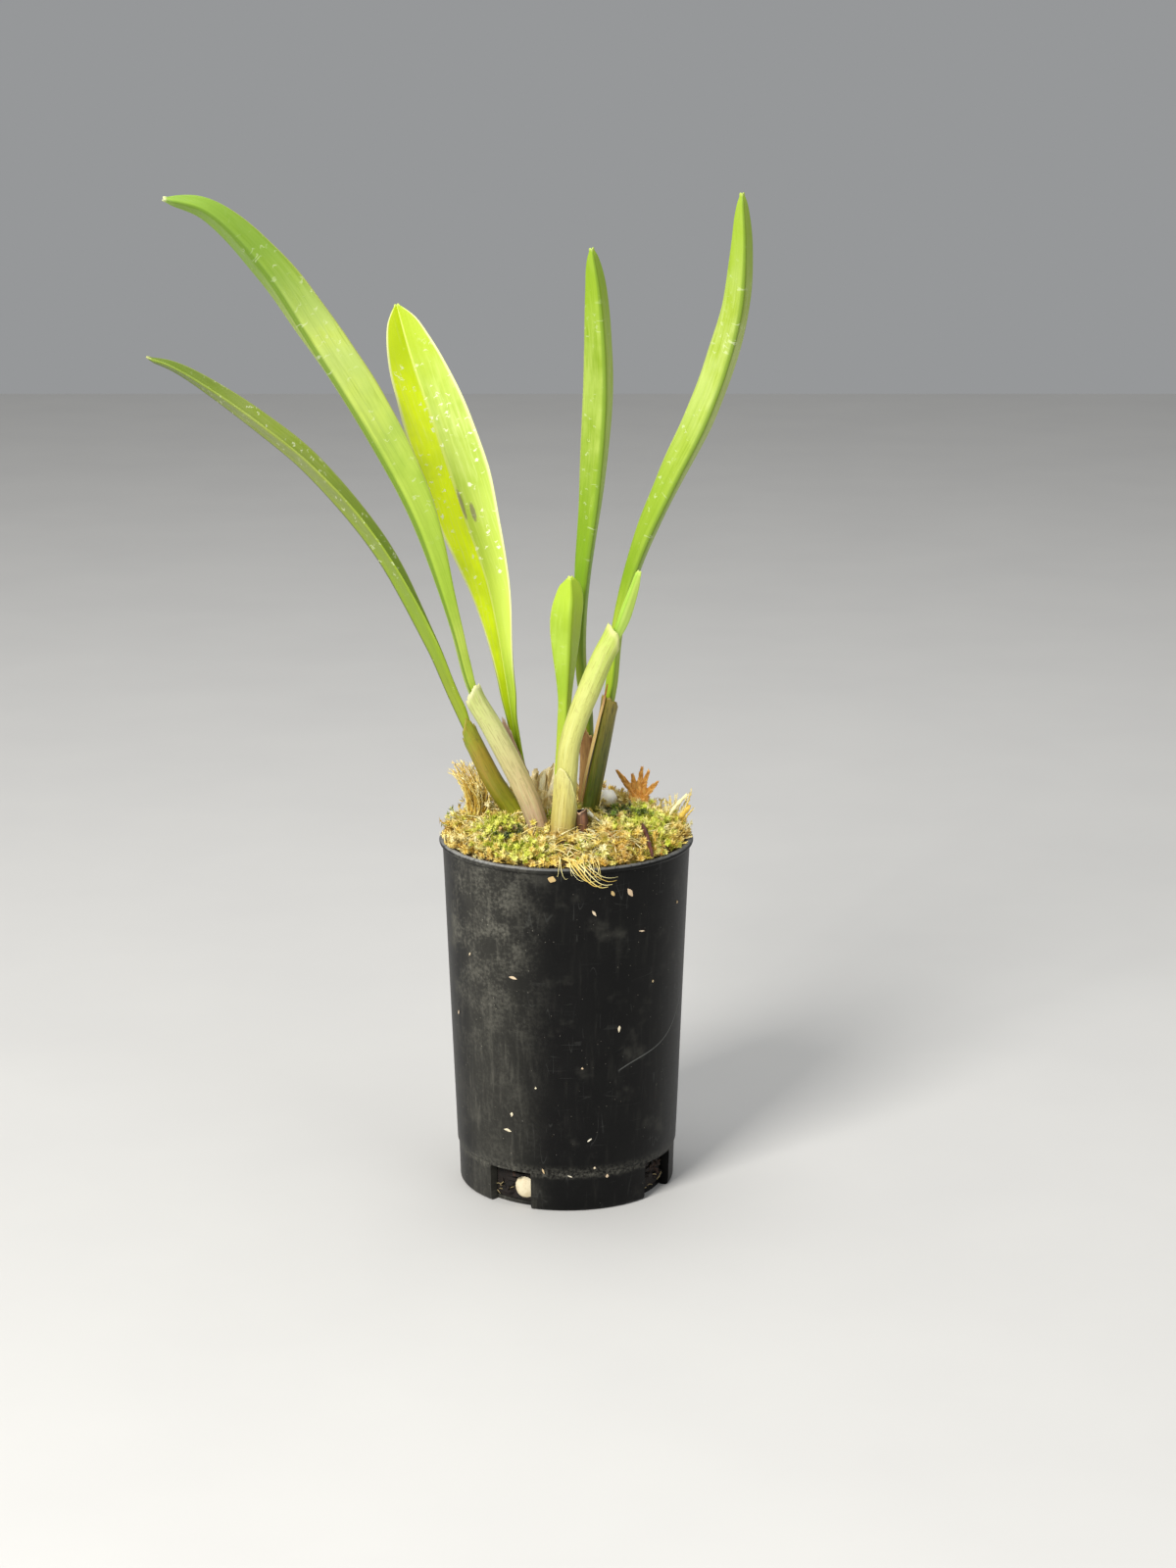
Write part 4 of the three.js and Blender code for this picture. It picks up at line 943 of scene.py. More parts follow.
# Sheaths: papery wraps round the stalks
sheaths = {
    "sheath_1": {
        "leaf": "leaf_1", "from": 1.5, "to": 48, "drop": 7, "radius": [2.9, 3, 2.95, 2.7],
        "wrap": 335, "facing": 46, "rag": 1,
        "colours": [(176, 142, 124), (190, 168, 122), (190, 190, 124), (184, 194, 112)],
        "fibre": (146, 138, 84), "edge": (216, 214, 160), "blotch": (146, 112, 84), "gloss": 0.5, "rim": 0.8,
    },
    "sheath_2": {
        "leaf": "leaf_2", "from": 1.5, "to": 34, "drop": 9, "radius": [2.7, 2.8, 2.7, 2.45],
        "wrap": 330, "facing": 40, "rag": 3,
        "colours": [(140, 146, 20), (120, 120, 14), (146, 126, 32), (130, 144, 22)],
        "fibre": (96, 98, 14), "edge": (176, 136, 56), "blotch": (104, 66, 22), "gloss": 0.42, "rim": 0.3,
    },
    "sheath_3": {
        "leaf": "leaf_3", "from": 4, "to": 34, "drop": 17, "radius": [2.6, 2.6, 2.7, 2.7],
        "wrap": 215, "facing": -60, "rag": 1.6,
        "colours": [(176, 148, 116), (190, 160, 128), (196, 164, 136), (176, 140, 112)],
        "fibre": (140, 108, 80), "edge": (206, 184, 156), "blotch": (126, 90, 66), "gloss": 0.6, "rim": 0.8,
    },
    "sheath_4": {
        "leaf": "leaf_7", "from": 1.5, "to": 63, "drop": 8, "radius": [2.9, 2.9, 2.9, 3.1, 2.9],
        "wrap": 338, "facing": -60, "rag": 1,
        "colours": [(186, 172, 106), (196, 192, 108), (192, 198, 108), (176, 194, 84)],
        "fibre": (158, 156, 70), "edge": (206, 210, 132), "blotch": (156, 140, 72), "gloss": 0.5, "rim": 0.8,
    },
    "sheath_4_outer": {
        "leaf": "leaf_7", "from": 2, "to": 22, "drop": 13, "radius": [3.4, 3.4, 3.45],
        "wrap": 230, "facing": -30, "rag": 1,
        "colours": [(164, 136, 72), (184, 170, 88), (196, 188, 104), (200, 196, 120)],
        "fibre": (150, 132, 66), "edge": (212, 206, 140), "blotch": (136, 100, 52), "gloss": 0.6, "rim": 0.6,
    },
    "sheath_5": {
        "leaf": "leaf_5", "from": 1.5, "to": 38, "drop": 5, "radius": [2.25, 2.25, 2.35, 2.4],
        "wrap": 335, "facing": -30, "rag": 1.5,
        "colours": [(64, 76, 12), (74, 86, 14), (104, 104, 30), (140, 126, 46)],
        "fibre": (50, 56, 8), "edge": (150, 128, 50), "blotch": (84, 62, 20), "gloss": 0.3, "rim": 0.5,
    },
    "sheath_6": {
        "leaf": "leaf_4", "from": 3, "to": 27, "drop": 15, "radius": [2.6, 2.6, 2.6],
        "wrap": 240, "facing": -20, "rag": 1.5,
        "colours": [(140, 104, 58), (160, 122, 70), (166, 126, 74), (132, 90, 50)],
        "fibre": (110, 78, 42), "edge": (196, 160, 104), "blotch": (90, 58, 30), "gloss": 0.6, "rim": 0.8,
    },
}
sheathMake = {"rows": 46, "columns": 61, "thickness": 0.45}


def buildSheath(plan, seed):
    spine = Spine(leaves[plan["leaf"]]["spine"])
    length = spine.length / mm
    rows, columns = sheathMake["rows"], sheathMake["columns"]
    share, side = shareGrid(rows, columns)
    rag = plan["rag"] * (0.3 * waves(seed, 14, side) + 0.22 * waves(seed + 1, 40, side))
    mouth = plan["to"] - plan["drop"] * np.abs(side) ** 1.5 + rag
    place = lerp(plan["from"], mouth, share) / length
    angle = plan["facing"] + side * plan["wrap"] / 2
    outward = facingDirection(spine.tangent(place), angle)
    ribs = 0.045 * waves(seed + 2, 1.0, side * 34, share * 1.5) + 0.05 * waves(seed + 3, 1.0, side * 6,
                                                                               share * 7)
    # the edge of the wrap lies down, and the mouth stands off a little
    flare = 0.12 * smooth((share - 0.93) / 0.07)
    radius = along(plan["radius"], share) + ribs + flare
    thickness = sheathMake["thickness"] * (1 - 0.6 * smooth((share - 0.9) / 0.1)) * (
        1 - 0.5 * smooth((np.abs(side) - 0.9) / 0.1))
    centre = spine.point(place)
    outer = centre + outward * (radius * mm)[..., None]
    inner = centre + outward * ((radius - thickness) * mm)[..., None]
    ring = np.concatenate([outer, inner[:, ::-1]], 1)
    around = side * plan["wrap"] / 2 * math.pi / 180 * radius
    growth = Growth()
    growth.add(ring, wrapFaces(rows, columns, [rows - 1, 0]), along=doubled(share), across=doubled(side),
               lengthwise=doubled(place * length), around=doubled(around))
    return growth


def sheathFinish(name, plan, seed):
    f = Finish(name + "Paper")
    u, s = f.value("along"), f.value("across")
    around, lengthwise = f.value("around"), f.value("lengthwise")
    fibres = f.noise(3.2, 4, f.vector(around, lengthwise * 0.07, float(seed)), 0.6)
    bands = f.noise(0.9, 3, f.vector(around, lengthwise * 0.05, seed + 5.0))
    mottle = f.noise(0.5, 4, f.vector(around, lengthwise, seed + 9.0), 0.6)
    specks = 1 - f.mask(f.spots(1.1, f.vector(around, lengthwise * 0.6, seed + 2.0)), 0.08, 0.2)
    rim = f.maths("MAXIMUM", f.mask(u, 0.955, 0.99), f.mask(f.maths("ABSOLUTE", s), 0.955, 0.99))
    colour = f.over(
        f.ramp(u + (mottle - 0.5) * 0.25, list(zip((0.02, 0.3, 0.7, 0.97), plan["colours"]))),
        (f.mask(fibres, 0.5, 0.66) * 0.65, plan["fibre"]),
        (f.mask(bands, 0.5, 0.75) * 0.45, plan["edge"]),
        (f.mask(mottle, 0.6, 0.75) * 0.45, plan["blotch"]),
        (specks * f.mask(mottle, 0.4, 0.55) * 0.3, plan["blotch"]),
        (rim * plan["rim"], plan["edge"]),
    )
    relief = fibres + bands * 0.8 + mottle * 0.4
    return f.surface(colour, plan["gloss"] + mottle * 0.15, relief, 0.00016, 0.55)


for index, (sheathName, sheathPlan) in enumerate(sheaths.items()):
    pieceName = sheathName.replace("_", "")
    addPiece(pieceName, buildSheath(sheathPlan, 20 + 7 * index).mesh(pieceName),
             sheathFinish(pieceName, sheathPlan, 3 + index), sheathName, [sheathName])

# Dry straw strip that climbs round the front of the fifth sheath to a red-brown point
strawStrip = {"leaf": "leaf_5", "from": 7, "to": 42, "turnFrom": -84, "turnTo": -26, "off": 3.15,
              "width": 1.9}


def buildStrawStrip():
    spine = Spine(leaves[strawStrip["leaf"]]["spine"])
    rows, columns = 40, 9
    share, side = shareGrid(rows, columns)
    place = lerp(strawStrip["from"], strawStrip["to"], share) * mm / spine.length
    width = strawStrip["width"] * (1 - 0.82 * share ** 1.6) * (1 + 0.08
                                                               * waves(44, 1.0, share * 14, side * 2))
    off = strawStrip["off"] + 0.12 * (1 - side ** 2) + 0.05 * waves(45, 1.0, share * 17, side * 3)
    turn = lerp(strawStrip["turnFrom"], strawStrip["turnTo"], share)
    turn = turn + side * np.degrees(width / 2 / strawStrip["off"])
    outer = spine.point(place) + facingDirection(spine.tangent(place), turn) * (off * mm)[..., None]
    growth = Growth()
    growth.add(outer, gridFaces(rows, columns), along=share.ravel(), across=side.ravel())
    return growth


def strawFinish():
    f = Finish("strawPaper")
    u, s = f.value("along"), f.value("across")
    fibres = f.noise(2.6, 4, f.vector(s * 1.4, u * 2.2, 4.0), 0.6)
    mottle = f.noise(420, 3)
    colour = f.ramp(u + (mottle - 0.5) * 0.15,
                    [(0.0, (150, 124, 62)), (0.4, (196, 168, 104)), (0.8, (206, 172, 112)),
                                                (0.93, (150, 84, 46))])
    colour = f.blend(f.mask(fibres, 0.5, 0.7) * 0.5, colour, (140, 104, 54))
    return f.surface(colour, 0.55 + mottle * 0.15, fibres, 0.00015, 0.5)


addPiece("strawStrip", buildStrawStrip().mesh("strawStrip"), strawFinish(), "sheath_5")
print("sheaths wrapped")

# Moss: a lumpy bed with many small leafy shoots
moss = {"rim": 99.9, "rise": 3.7, "radius": 32.4, "bottom": 97.3, "bedRadius": 32.2, "shootRadius": 31.8}
# how far growth reaches sideways below and above a height just over the rim, and its lowest point
mouth = {"height": 99.35, "below": 32.5, "above": 34.9, "lowest": 97.4}
patches = {
    "moss_green_right": {"centre": (21, -1), "half": (8.2, 12.5), "turn": -8, "seed": 31, "shoots": 1250},
    "moss_green_left": {"centre": (-17.6, -9), "half": (4.6, 7.5), "turn": 14, "seed": 32, "shoots": 430},
    "moss_green_front": {"centre": (-12.5, -24.6), "half": (8.4, 3.9), "turn": -24, "seed": 33,
                         "shoots": 420},
}
golden = {"shoots": 1700, "threads": 1500, "threadRadius": 31, "seed": 21}
# the bed sinks round the white chip
chipDip = {"centre": (12.6, 12), "reach": (3.8, 5.5), "depth": 1.8}
# painted shade in the hollows between the stalks, where the moss is greener and darker: centre and reach
shadedHollows = [(-6, -6, 3), (13.2, 3.4, 4.4), (18.6, 0.6, 3.2), (-12.4, -14.5, 3.2), (-5, 14, 4)]


def bedHeight(x, y):
    reach = np.minimum(np.hypot(x, y) / moss["radius"], 1)
    dome = moss["rise"] * (1 - reach ** 2.2)
    lumps = 0.6 * np.sin(0.42 * x + 1.1) * np.cos(0.37 * y - 0.6)
    knobs = 0.8 * np.sin(1.35 * x - 0.6 * y + 0.4) * np.cos(1.2 * y + 0.45 * x)
    backRise = 1.1 * smooth((y - 4) / 24) * (1 - reach ** 6)
    return moss["rim"] + dome + backRise + (lumps + knobs) * (1 - 0.5 * reach ** 4)


def patchShare(plan, x, y):
    slope = math.radians(plan["turn"])
    dx, dy = x - plan["centre"][0], y - plan["centre"][1]
    a = dx * math.cos(slope) + dy * math.sin(slope)
    b = dy * math.cos(slope) - dx * math.sin(slope)
    return np.hypot(a / plan["half"][0], b / plan["half"][1])


# Keeps points out of the rim of the pot
def insideRim(points):
    reach = np.linalg.norm(points[..., :2], axis=-1, keepdims=True)
    low = points[..., 2:] < mouth["height"] * mm
    limit = np.where(low, mouth["below"] * mm, mouth["above"] * mm)
    scaled = points.copy()
    scaled[..., :2] *= np.minimum(limit / np.maximum(reach, 1e-9), 1)
    scaled[..., 2] = np.maximum(scaled[..., 2], mouth["lowest"] * mm)
    return scaled


def addShoots(growth, random, roots, heading, lean, length, look, tint, green):
    rows = look["rows"]
    paths = grownPaths(roots, heading, lean, length, rows, random, look["curl"], look["droop"])
    frames = pathFrames(paths, random)
    count = len(roots)
    share = np.linspace(0, 1, rows)
    radii = look["stem"] * mm * (1 - 0.5 * share)

    def own(values, shape):
        return np.broadcast_to(np.reshape(values, (count,) + (1,) * (len(shape) - 1)), shape).ravel()

    stems = tubePoints(paths, frames, radii, 3)
    shape = stems.shape[:3]
    growth.add(insideRim(stems), tubeFaces(count, rows, 3), tint=own(tint, shape), green=own(green, shape),
               height=np.broadcast_to(share[None, :, None], shape).ravel())
    side = (np.linspace(0.12, 0.97, look["leaflets"]), look["leafLength"], look["spread"])
    head = (np.linspace(0.93, 1.0, look["head"]), look["leafLength"] * 0.95, look["headSpread"])
    for shares, size, spread in (side, head):
        blades = leafletPoints(paths, frames, shares, size * mm, look["leafWidth"] * mm, spread, random)
        shape = blades.shape[:3]
        tips = shares[None, :, None] * np.ones(shape) * np.array([0.8, 0.95, 1.0, 0.95])
        shift = random.uniform(-0.07, 0.07, shape[:2])[..., None] * np.ones(shape)
        growth.add(insideRim(blades), np.arange(blades.size // 3).reshape(-1, 4),
                   tint=np.clip(own(tint, shape) + shift.ravel(), 0, 1), green=own(green, shape),
                   height=tips.ravel())


def scattered(random, count, inside, low=-32, high=32):
    spots = random.uniform(low, high, (count * 8, 2))
    spots = spots[inside(spots[:, 0], spots[:, 1])]
    return spots[:count, 0], spots[:count, 1]


def hollowShadeShare(x, y):
    near = [1.7 * np.exp(-((x - a) ** 2 + (y - b) ** 2) / reach ** 2) for a, b, reach in shadedHollows]
    return np.minimum(np.max(near, 0), 1)


# no growth stands in front of the pale chip, the root tip or the old bract: centre and half sizes
clearings = [(12.4, 11.4, 4.6, 8.8), (8, -7.8, 3.6, 3.6), (4.4, -15.6, 2, 2.2)]


def offClearings(x, y):
    return np.all([np.hypot((x - a) / wide, (y - b) / deep) > 1 for a, b, wide, deep in clearings], 0)


def addBed(growth):
    rings, segments = 40, 150
    reach = np.linspace(0, 1, rings)[:, None] ** 0.9 * moss["bedRadius"]
    turn = fullTurn(segments)[None, :]
    x, y = reach * np.cos(turn), reach * np.sin(turn)
    (centreX, centreY), (reachX, reachY) = chipDip["centre"], chipDip["reach"]
    dip = chipDip["depth"] * np.exp(-((x - centreX) / reachX) ** 2 - ((y - centreY) / reachY) ** 2)
    z = bedHeight(x, y) - 0.7 - dip + 0.35 * waves(4, 1.9, x, y) + 0.2 * waves(6, 4.2, x, y)
    z[-1] = moss["bottom"]
    # the bed's low height value brings it the painted shade of the finish in the gaps between shoots
    growth.add(np.stack([x, y, z], -1) * mm, gridFaces(rings, segments, closed=True), tint=0.9, green=0.0,
               height=0.12)


def buildGolden():
    random = np.random.default_rng(golden["seed"])
    growth = Growth()
    addBed(growth)

    def clear(x, y):
        offPatches = np.all([patchShare(plan, x, y) > 0.9 for plan in patches.values()], 0)
        return (np.hypot(x, y) < moss["shootRadius"]) & offClearings(x, y) & offPatches

    x, y = scattered(random, golden["shoots"], clear)
    count = len(x)
    reach = np.hypot(x, y)
    heading = np.where(reach > 26, np.arctan2(y, x) + math.pi + random.normal(0, 1.1, count),
                       random.uniform(0, 2 * math.pi, count))
    heading = np.where((reach > 26) & (random.uniform(size=count) < 0.25), np.arctan2(y, x), heading)
    lean = random.uniform(0.05, 1.0, count) + 0.35 * smooth((y - 6) / 14)
    length = random.uniform(3.2, 6.8, count) * (1 + 0.25 * smooth((y - 8) / 14)) * mm
    # short growth round the pale chip
    length *= 1 - 0.78 * np.exp(-((x - 12) / 6) ** 2 - ((y - 15) / 6) ** 2)
    roots = np.stack([x, y, bedHeight(x, y) - 1.2], -1) * mm
    tint = np.clip(0.29 + 0.16 * waves(12, 0.22, x, y) + random.normal(0, 0.13, count), 0, 0.86)
    green = np.clip(0.2 * waves(15, 0.3, x, y) + 0.2 + random.normal(0, 0.12, count), 0, 0.7)
    # in the hollows the moss turns greener and its tint darker, the darkening being painted shade
    hollowShade = hollowShadeShare(x, y) * random.uniform(0.5, 1.1, count)
    green = np.clip(np.maximum(green, 1.3 * hollowShade), 0, 1)
    tint = np.where(hollowShade > 0.35, np.clip(tint + 0.7 * hollowShade, 0, 1), tint)
    # yellow-green tips in the middle of the front
    front = np.exp(-((x - 3) ** 2 + (y + 26) ** 2) / 50) * random.uniform(0.4, 1.2, count)
    green = np.clip(np.maximum(green, 0.8 * front), 0, 1)
    look = {"rows": 6, "stem": 0.2, "leaflets": 20, "leafLength": 1.3, "leafWidth": 0.36, "spread": 44,
            "curl": 1.3, "droop": 1.0, "head": 12, "headSpread": 74}
    addShoots(growth, random, roots, heading, lean, length, look, tint, green)
    # a fringe that fills the edge under the bead
    count = 240
    turn = random.uniform(0, 2 * math.pi, count)
    edge = random.uniform(29.6, 31.9, count)
    roots = np.stack([edge * np.cos(turn), edge * np.sin(turn), np.full(count, 98.6)], -1) * mm
    tint = np.clip(random.normal(0.42, 0.14, count), 0, 0.86)
    addShoots(growth, random, roots, turn + random.normal(0, 0.9, count), random.uniform(0.5, 1.2, count),
              random.uniform(2.2, 3.4, count) * mm, look, tint, random.uniform(0, 0.4, count))
    return growth


# Dry straws and threads that lie over the rest
def buildThreads():
    random = np.random.default_rng(golden["seed"] + 1)
    growth = Growth()
    x, y = scattered(random, golden["threads"],
                     lambda x, y: (np.hypot(x, y) < golden["threadRadius"]) & offClearings(x, y))
    count = len(x)
    roots = np.stack([x, y, bedHeight(x, y) + 0.1], -1) * mm
    inward = np.arctan2(y, x) + math.pi + random.normal(0, 1.2, count)
    paths = grownPaths(roots, np.where(np.hypot(x, y) > 24, inward, random.uniform(0, anyTurn, count)),
                       random.uniform(0.1, 0.8, count), random.uniform(3, 8, count) * mm, 7, random, 1.8, 1.5)
    frames = pathFrames(paths, random)
    shape = (count, 7, 3)
    radii = (random.uniform(0.07, 0.2, (count, 1)) * np.array([1, 1, 0.95, 0.9, 0.75, 0.55, 0.2])) * mm
    tint = np.broadcast_to(random.choice([0.02, 0.1, 0.2, 0.5, 0.7], (count, 1, 1)), shape).ravel()
    growth.add(insideRim(tubePoints(paths, frames, radii, 3)), tubeFaces(count, 7, 3), tint=tint, green=0.0,
               height=0.9)
    return growth


def buildPatch(plan):
    random = np.random.default_rng(plan["seed"])
    growth = Growth()
    span = max(plan["half"]) * 1.1
    x, y = scattered(random, plan["shoots"] * 2, lambda x, y: np.full(len(x), True), -span, span)
    x, y = x + plan["centre"][0], y + plan["centre"][1]
    wobble = 1.02 + 0.1 * waves(plan["seed"], 0.5, x, y)
    inside = (patchShare(plan, x, y) < wobble) & (np.hypot(x, y) < moss["shootRadius"]) & offClearings(x, y)
    x, y = x[inside][:plan["shoots"]], y[inside][:plan["shoots"]]
    count = len(x)
    heading = random.uniform(0, 2 * math.pi, count)
    lean = random.uniform(0.35, 1.35, count)
    length = random.uniform(2.6, 4.8, count) * mm
    roots = np.stack([x, y, bedHeight(x, y) - 0.9], -1) * mm
    edge = smooth((patchShare(plan, x, y) - 0.55) / 0.5)
    tint = np.clip(0.25 + random.normal(0, 0.12, count), 0, 0.7)
    green = np.clip(random.normal(0.72, 0.2, count) - 0.45 * edge * random.uniform(0, 1, count), 0.15, 1)
    green = green - 0.42 * (waves(plan["seed"] + 4, 0.45, x, y) > 0.9)
    # in the hollows the tint turns darker as painted shade
    hollowShade = hollowShadeShare(x, y) * random.uniform(0.5, 1.1, count)
    tint = np.clip(np.where(hollowShade > 0.3, tint + 0.8 * hollowShade, tint), 0, 1)
    look = {"rows": 5, "stem": 0.18, "leaflets": 20, "leafLength": 1.2, "leafWidth": 0.32, "spread": 46,
            "curl": 1.2, "droop": 0.9, "head": 14, "headSpread": 72}
    addShoots(growth, random, roots, heading, lean, length, look, tint, green)
    return growth


mossTints = [(0.0, (242, 236, 190)), (0.14, (238, 222, 144)), (0.32, (226, 198, 92)), (0.5, (212, 174, 66)),
             (0.66, (194, 144, 50)), (0.8, (150, 106, 36)), (0.93, (66, 50, 20))]
mossGreens = [(0.0, (226, 228, 110)), (0.3, (192, 200, 48)), (0.5, (150, 168, 22)), (0.68, (84, 112, 8)),
              (0.95, (34, 56, 4))]


def mossFinish(name):
    f = Finish(name)
    tint, green, height = f.value("tint"), f.value("green"), f.value("height")
    patch = f.noise(160, 3)
    fine = f.noise(1500, 2)
    straw = f.ramp(tint + (patch - 0.5) * 0.22, mossTints)
    living = f.ramp(tint + (patch - 0.5) * 0.5, mossGreens)
    alive = f.mask(green + (patch - 0.5) * 0.3, 0.25, 0.7)
    # low on each shoot the colour is darkened as painted shade down among the shoots, and the tips are paled
    # as a painted highlight over their own paler tone
    colour = f.over(straw, (alive, living), ((1 - f.mask(height, 0.0, 0.52)) * 0.75, (62, 46, 14)),
                    (f.mask(height, 0.84, 1.0) * (0.42 - alive * 0.3), (248, 234, 176)))
    return f.surface(colour, 0.62 + fine * 0.2, fine, 0.00008, 0.4)


dress("moss_golden", buildGolden(), mossFinish("goldenMoss"))
addPiece("mossThreads", buildThreads().mesh("mossThreads"), mossFinish("dryThreads"), "moss_golden")
for patchName, patchPlan in patches.items():
    dress(patchName, buildPatch(patchPlan), mossFinish(camel(patchName) + "Finish"))
print("moss grown")

# Bunches of dry moss and papery scraps, each from one root to its tips
bunches = {
    "dry_tuft": {
        "root": (-25, 7, 103.4), "bow": 1.2, "perTip": 8, "jitter": 1.2, "leaflets": 18, "leafLength": 1.2,
        "leafWidth": 0.32, "seed": 71, "tints": (0.02, 0.55),
        "tips": [(-31.5, 8, 115.4), (-30.4, 8.4, 117.2), (-28.4, 8.6, 117.6), (-26.6, 8.4, 116.8),
                 (-25, 8, 115.6), (-24, 8.4, 114), (-29.8, 6, 114.6), (-27, 5, 113.2), (-24.6, 5.4, 111.4),
                 (-22.6, 7, 112), (-28.4, 11, 113.6), (-24, 11.5, 113)],
        "sway": (2.6, 0, 2.2),
    },
    "rim_sprigs": {
        "root": (29.4, 3.4, 102.6), "sway": (0, 0, 0), "bow": 0.6, "perTip": 2, "jitter": 0.3, "leaflets": 22,
        "leafLength": 0.9, "leafWidth": 0.3, "seed": 72, "tints": (0.02, 0.4),
        "tips": [(34.6, 2.4, 110.8), (33.4, 4.4, 109), (30.6, 8.4, 108.2), (27.6, 8.8, 106), (34.8, 0, 106.4),
                 (32.8, -2.4, 104.4), (28.6, 6, 108.4), (31.6, 11, 105.6)],
    },
    "papery_clump": {
        "root": (-6.2, 8.8, 104), "bow": 0.7, "scrapsPerTip": 3, "width": 3.6, "seed": 61,
        "tips": [(-10.2, 10, 112.6), (-8.4, 12.4, 114.6), (-5.6, 10.6, 114.2), (-3.6, 12.8, 116),
                 (-2, 9.6, 111.6), (-7.4, 7.4, 110.4), (-4.2, 7.2, 109.2), (-11.2, 13, 109.6)],
    },
}


def buildFeathers(plan):
    random = np.random.default_rng(plan["seed"])
    growth = Growth()
    root = np.array(plan["root"])
    tips = np.repeat(np.array(plan["tips"]), plan["perTip"], 0)
    count = len(tips)
    tips = tips + random.normal(0, plan["jitter"] * 0.6, (count, 3)) - np.array([0, 0, plan["jitter"] * 0.4])
    level = tips * np.array([1, 1, 0]) + np.array([0, 0, root[2]])
    start = lerp(root, level, 0.22) + random.normal(0, 0.5, (count, 3)) - np.array([0, 0, 2.4])
    middle = lerp(start, tips, 0.5) + plan["sway"] + random.normal(0, plan["bow"], (count, 3))
    paths = bezierPaths(start, middle, tips, 10) * mm
    frames = pathFrames(paths, random)
    share = np.linspace(0, 1, 10)
    tint = random.uniform(*plan["tints"], (count, 1, 1))
    stems = tubePoints(paths, frames, (0.2 - 0.12 * share) * mm, 4)
    shape = stems.shape[:3]
    growth.add(stems, tubeFaces(count, 10, 4), tint=np.broadcast_to(tint, shape).ravel(), green=0,
               height=np.broadcast_to(0.55 + 0.4 * share[None, :, None], shape).ravel())
    shares = np.linspace(0.08, 1.0, plan["leaflets"])
    blades = leafletPoints(paths, frames, shares, plan["leafLength"] * mm, plan["leafWidth"] * mm, 30, random,
                           0.1)
    shape = blades.shape[:3]
    shift = random.uniform(-0.12, 0.12, shape[:2])[..., None]
    growth.add(blades, np.arange(blades.size // 3).reshape(-1, 4),
               tint=np.clip(tint + shift * np.ones(shape), 0, 0.8).ravel(),
               green=0, height=np.broadcast_to(0.6 + 0.4 * shares[None, :, None], shape).ravel())
    return growth


# A crumpled strip along a path, as wide as given at each row
def addScrap(growth, random, path, width, crumple, columns=9, turn=0.0, **values):
    rows = len(path)
    paths = path[None]
    tangent, first, second = (grid[0] for grid in pathFrames(paths, random))
    angle = turn + np.linspace(0, random.uniform(-0.8, 0.8), rows)[:, None, None]
    side = first[:, None] * np.cos(angle) + second[:, None] * np.sin(angle)
    normal = np.cross(tangent[:, None], side)
    u, v = shareGrid(rows, columns)
    seed = int(random.integers(9999))
    dent = crumple * (waves(seed, 1.0, u * 9, v * 3.2) + 0.5 * waves(seed + 1, 1.0, u * 21, v * 7))
    curl = -0.35 * np.asarray(width)[:, None] * v ** 2
    points = path[:, None] + side * (v[..., None] * np.asarray(width)[:, None, None] / 2 * mm)
    points = points + normal * ((dent + curl) * mm)[..., None]
    growth.add(points, gridFaces(rows, columns), along=u.ravel(), across=v.ravel(), **values)


# Round stalk-like things along a path, with a wrinkled skin
def addStalk(growth, route, radii, wrinkle, seed, **values):
    rows, sides = 40, 16
    path = Spine(route).point(np.linspace(0, 1, rows))[None]
    frames = pathFrames(path, np.random.default_rng(seed))
    share = np.linspace(0, 1, rows)
    points = tubePoints(path, frames, along(radii, share) * mm, sides)[0]
    turn = fullTurn(sides)
    bump = wrinkle * (waves(seed, 1.0, share[:, None] * 22, np.cos(turn)[None] * 2.2,
                            np.sin(turn)[None] * 2.2))
    points = points + (points - path[0][:, None]) / (along(radii, share) * mm)[:, None,
                                                                               None] * (bump * mm)[..., None]
    growth.add(points, gridFaces(rows, sides, closed=True), along=np.repeat(share, sides), **values)
    for end in (0, rows - 1):
        cap = np.vstack([points[end], path[0, end][None]])
        ring = np.arange(sides)
        faces = np.stack([ring, (ring + 1) % sides, np.full(sides, sides)], -1)
        growth.add(cap, faces[:, ::-1] if end == 0 else faces, along=float(end > 0), **values)


def buildPaperyClump(plan):
    random = np.random.default_rng(plan["seed"])
    growth = Growth()
    root = np.array(plan["root"])
    for tip in plan["tips"]:
        for _ in range(plan["scrapsPerTip"]):
            end = np.array(tip) + random.normal(0, 0.7, 3) - np.array([0, 0, 0.8])
            start = root + random.normal(0, 1.1, 3) * np.array([1, 1, 0.3]) - np.array([0, 0, 1.5])
            middle = lerp(start, end, 0.5) + random.normal(0, 1.4, 3)
            path = bezierPaths(start[None], middle[None], end[None], 18)[0] * mm
            share = np.linspace(0, 1, 18)
            width = plan["width"] * (0.45 + 0.7 * np.sin(share * math.pi * 0.9)) * random.uniform(0.5, 1.0)
            width = width * (1 - 0.4 * smooth((share - 0.85) / 0.15))
            addScrap(growth, random, path, width, 0.28, tint=random.uniform(0, 0.6),
                     turn=random.uniform(0, 3.1))
    return growth


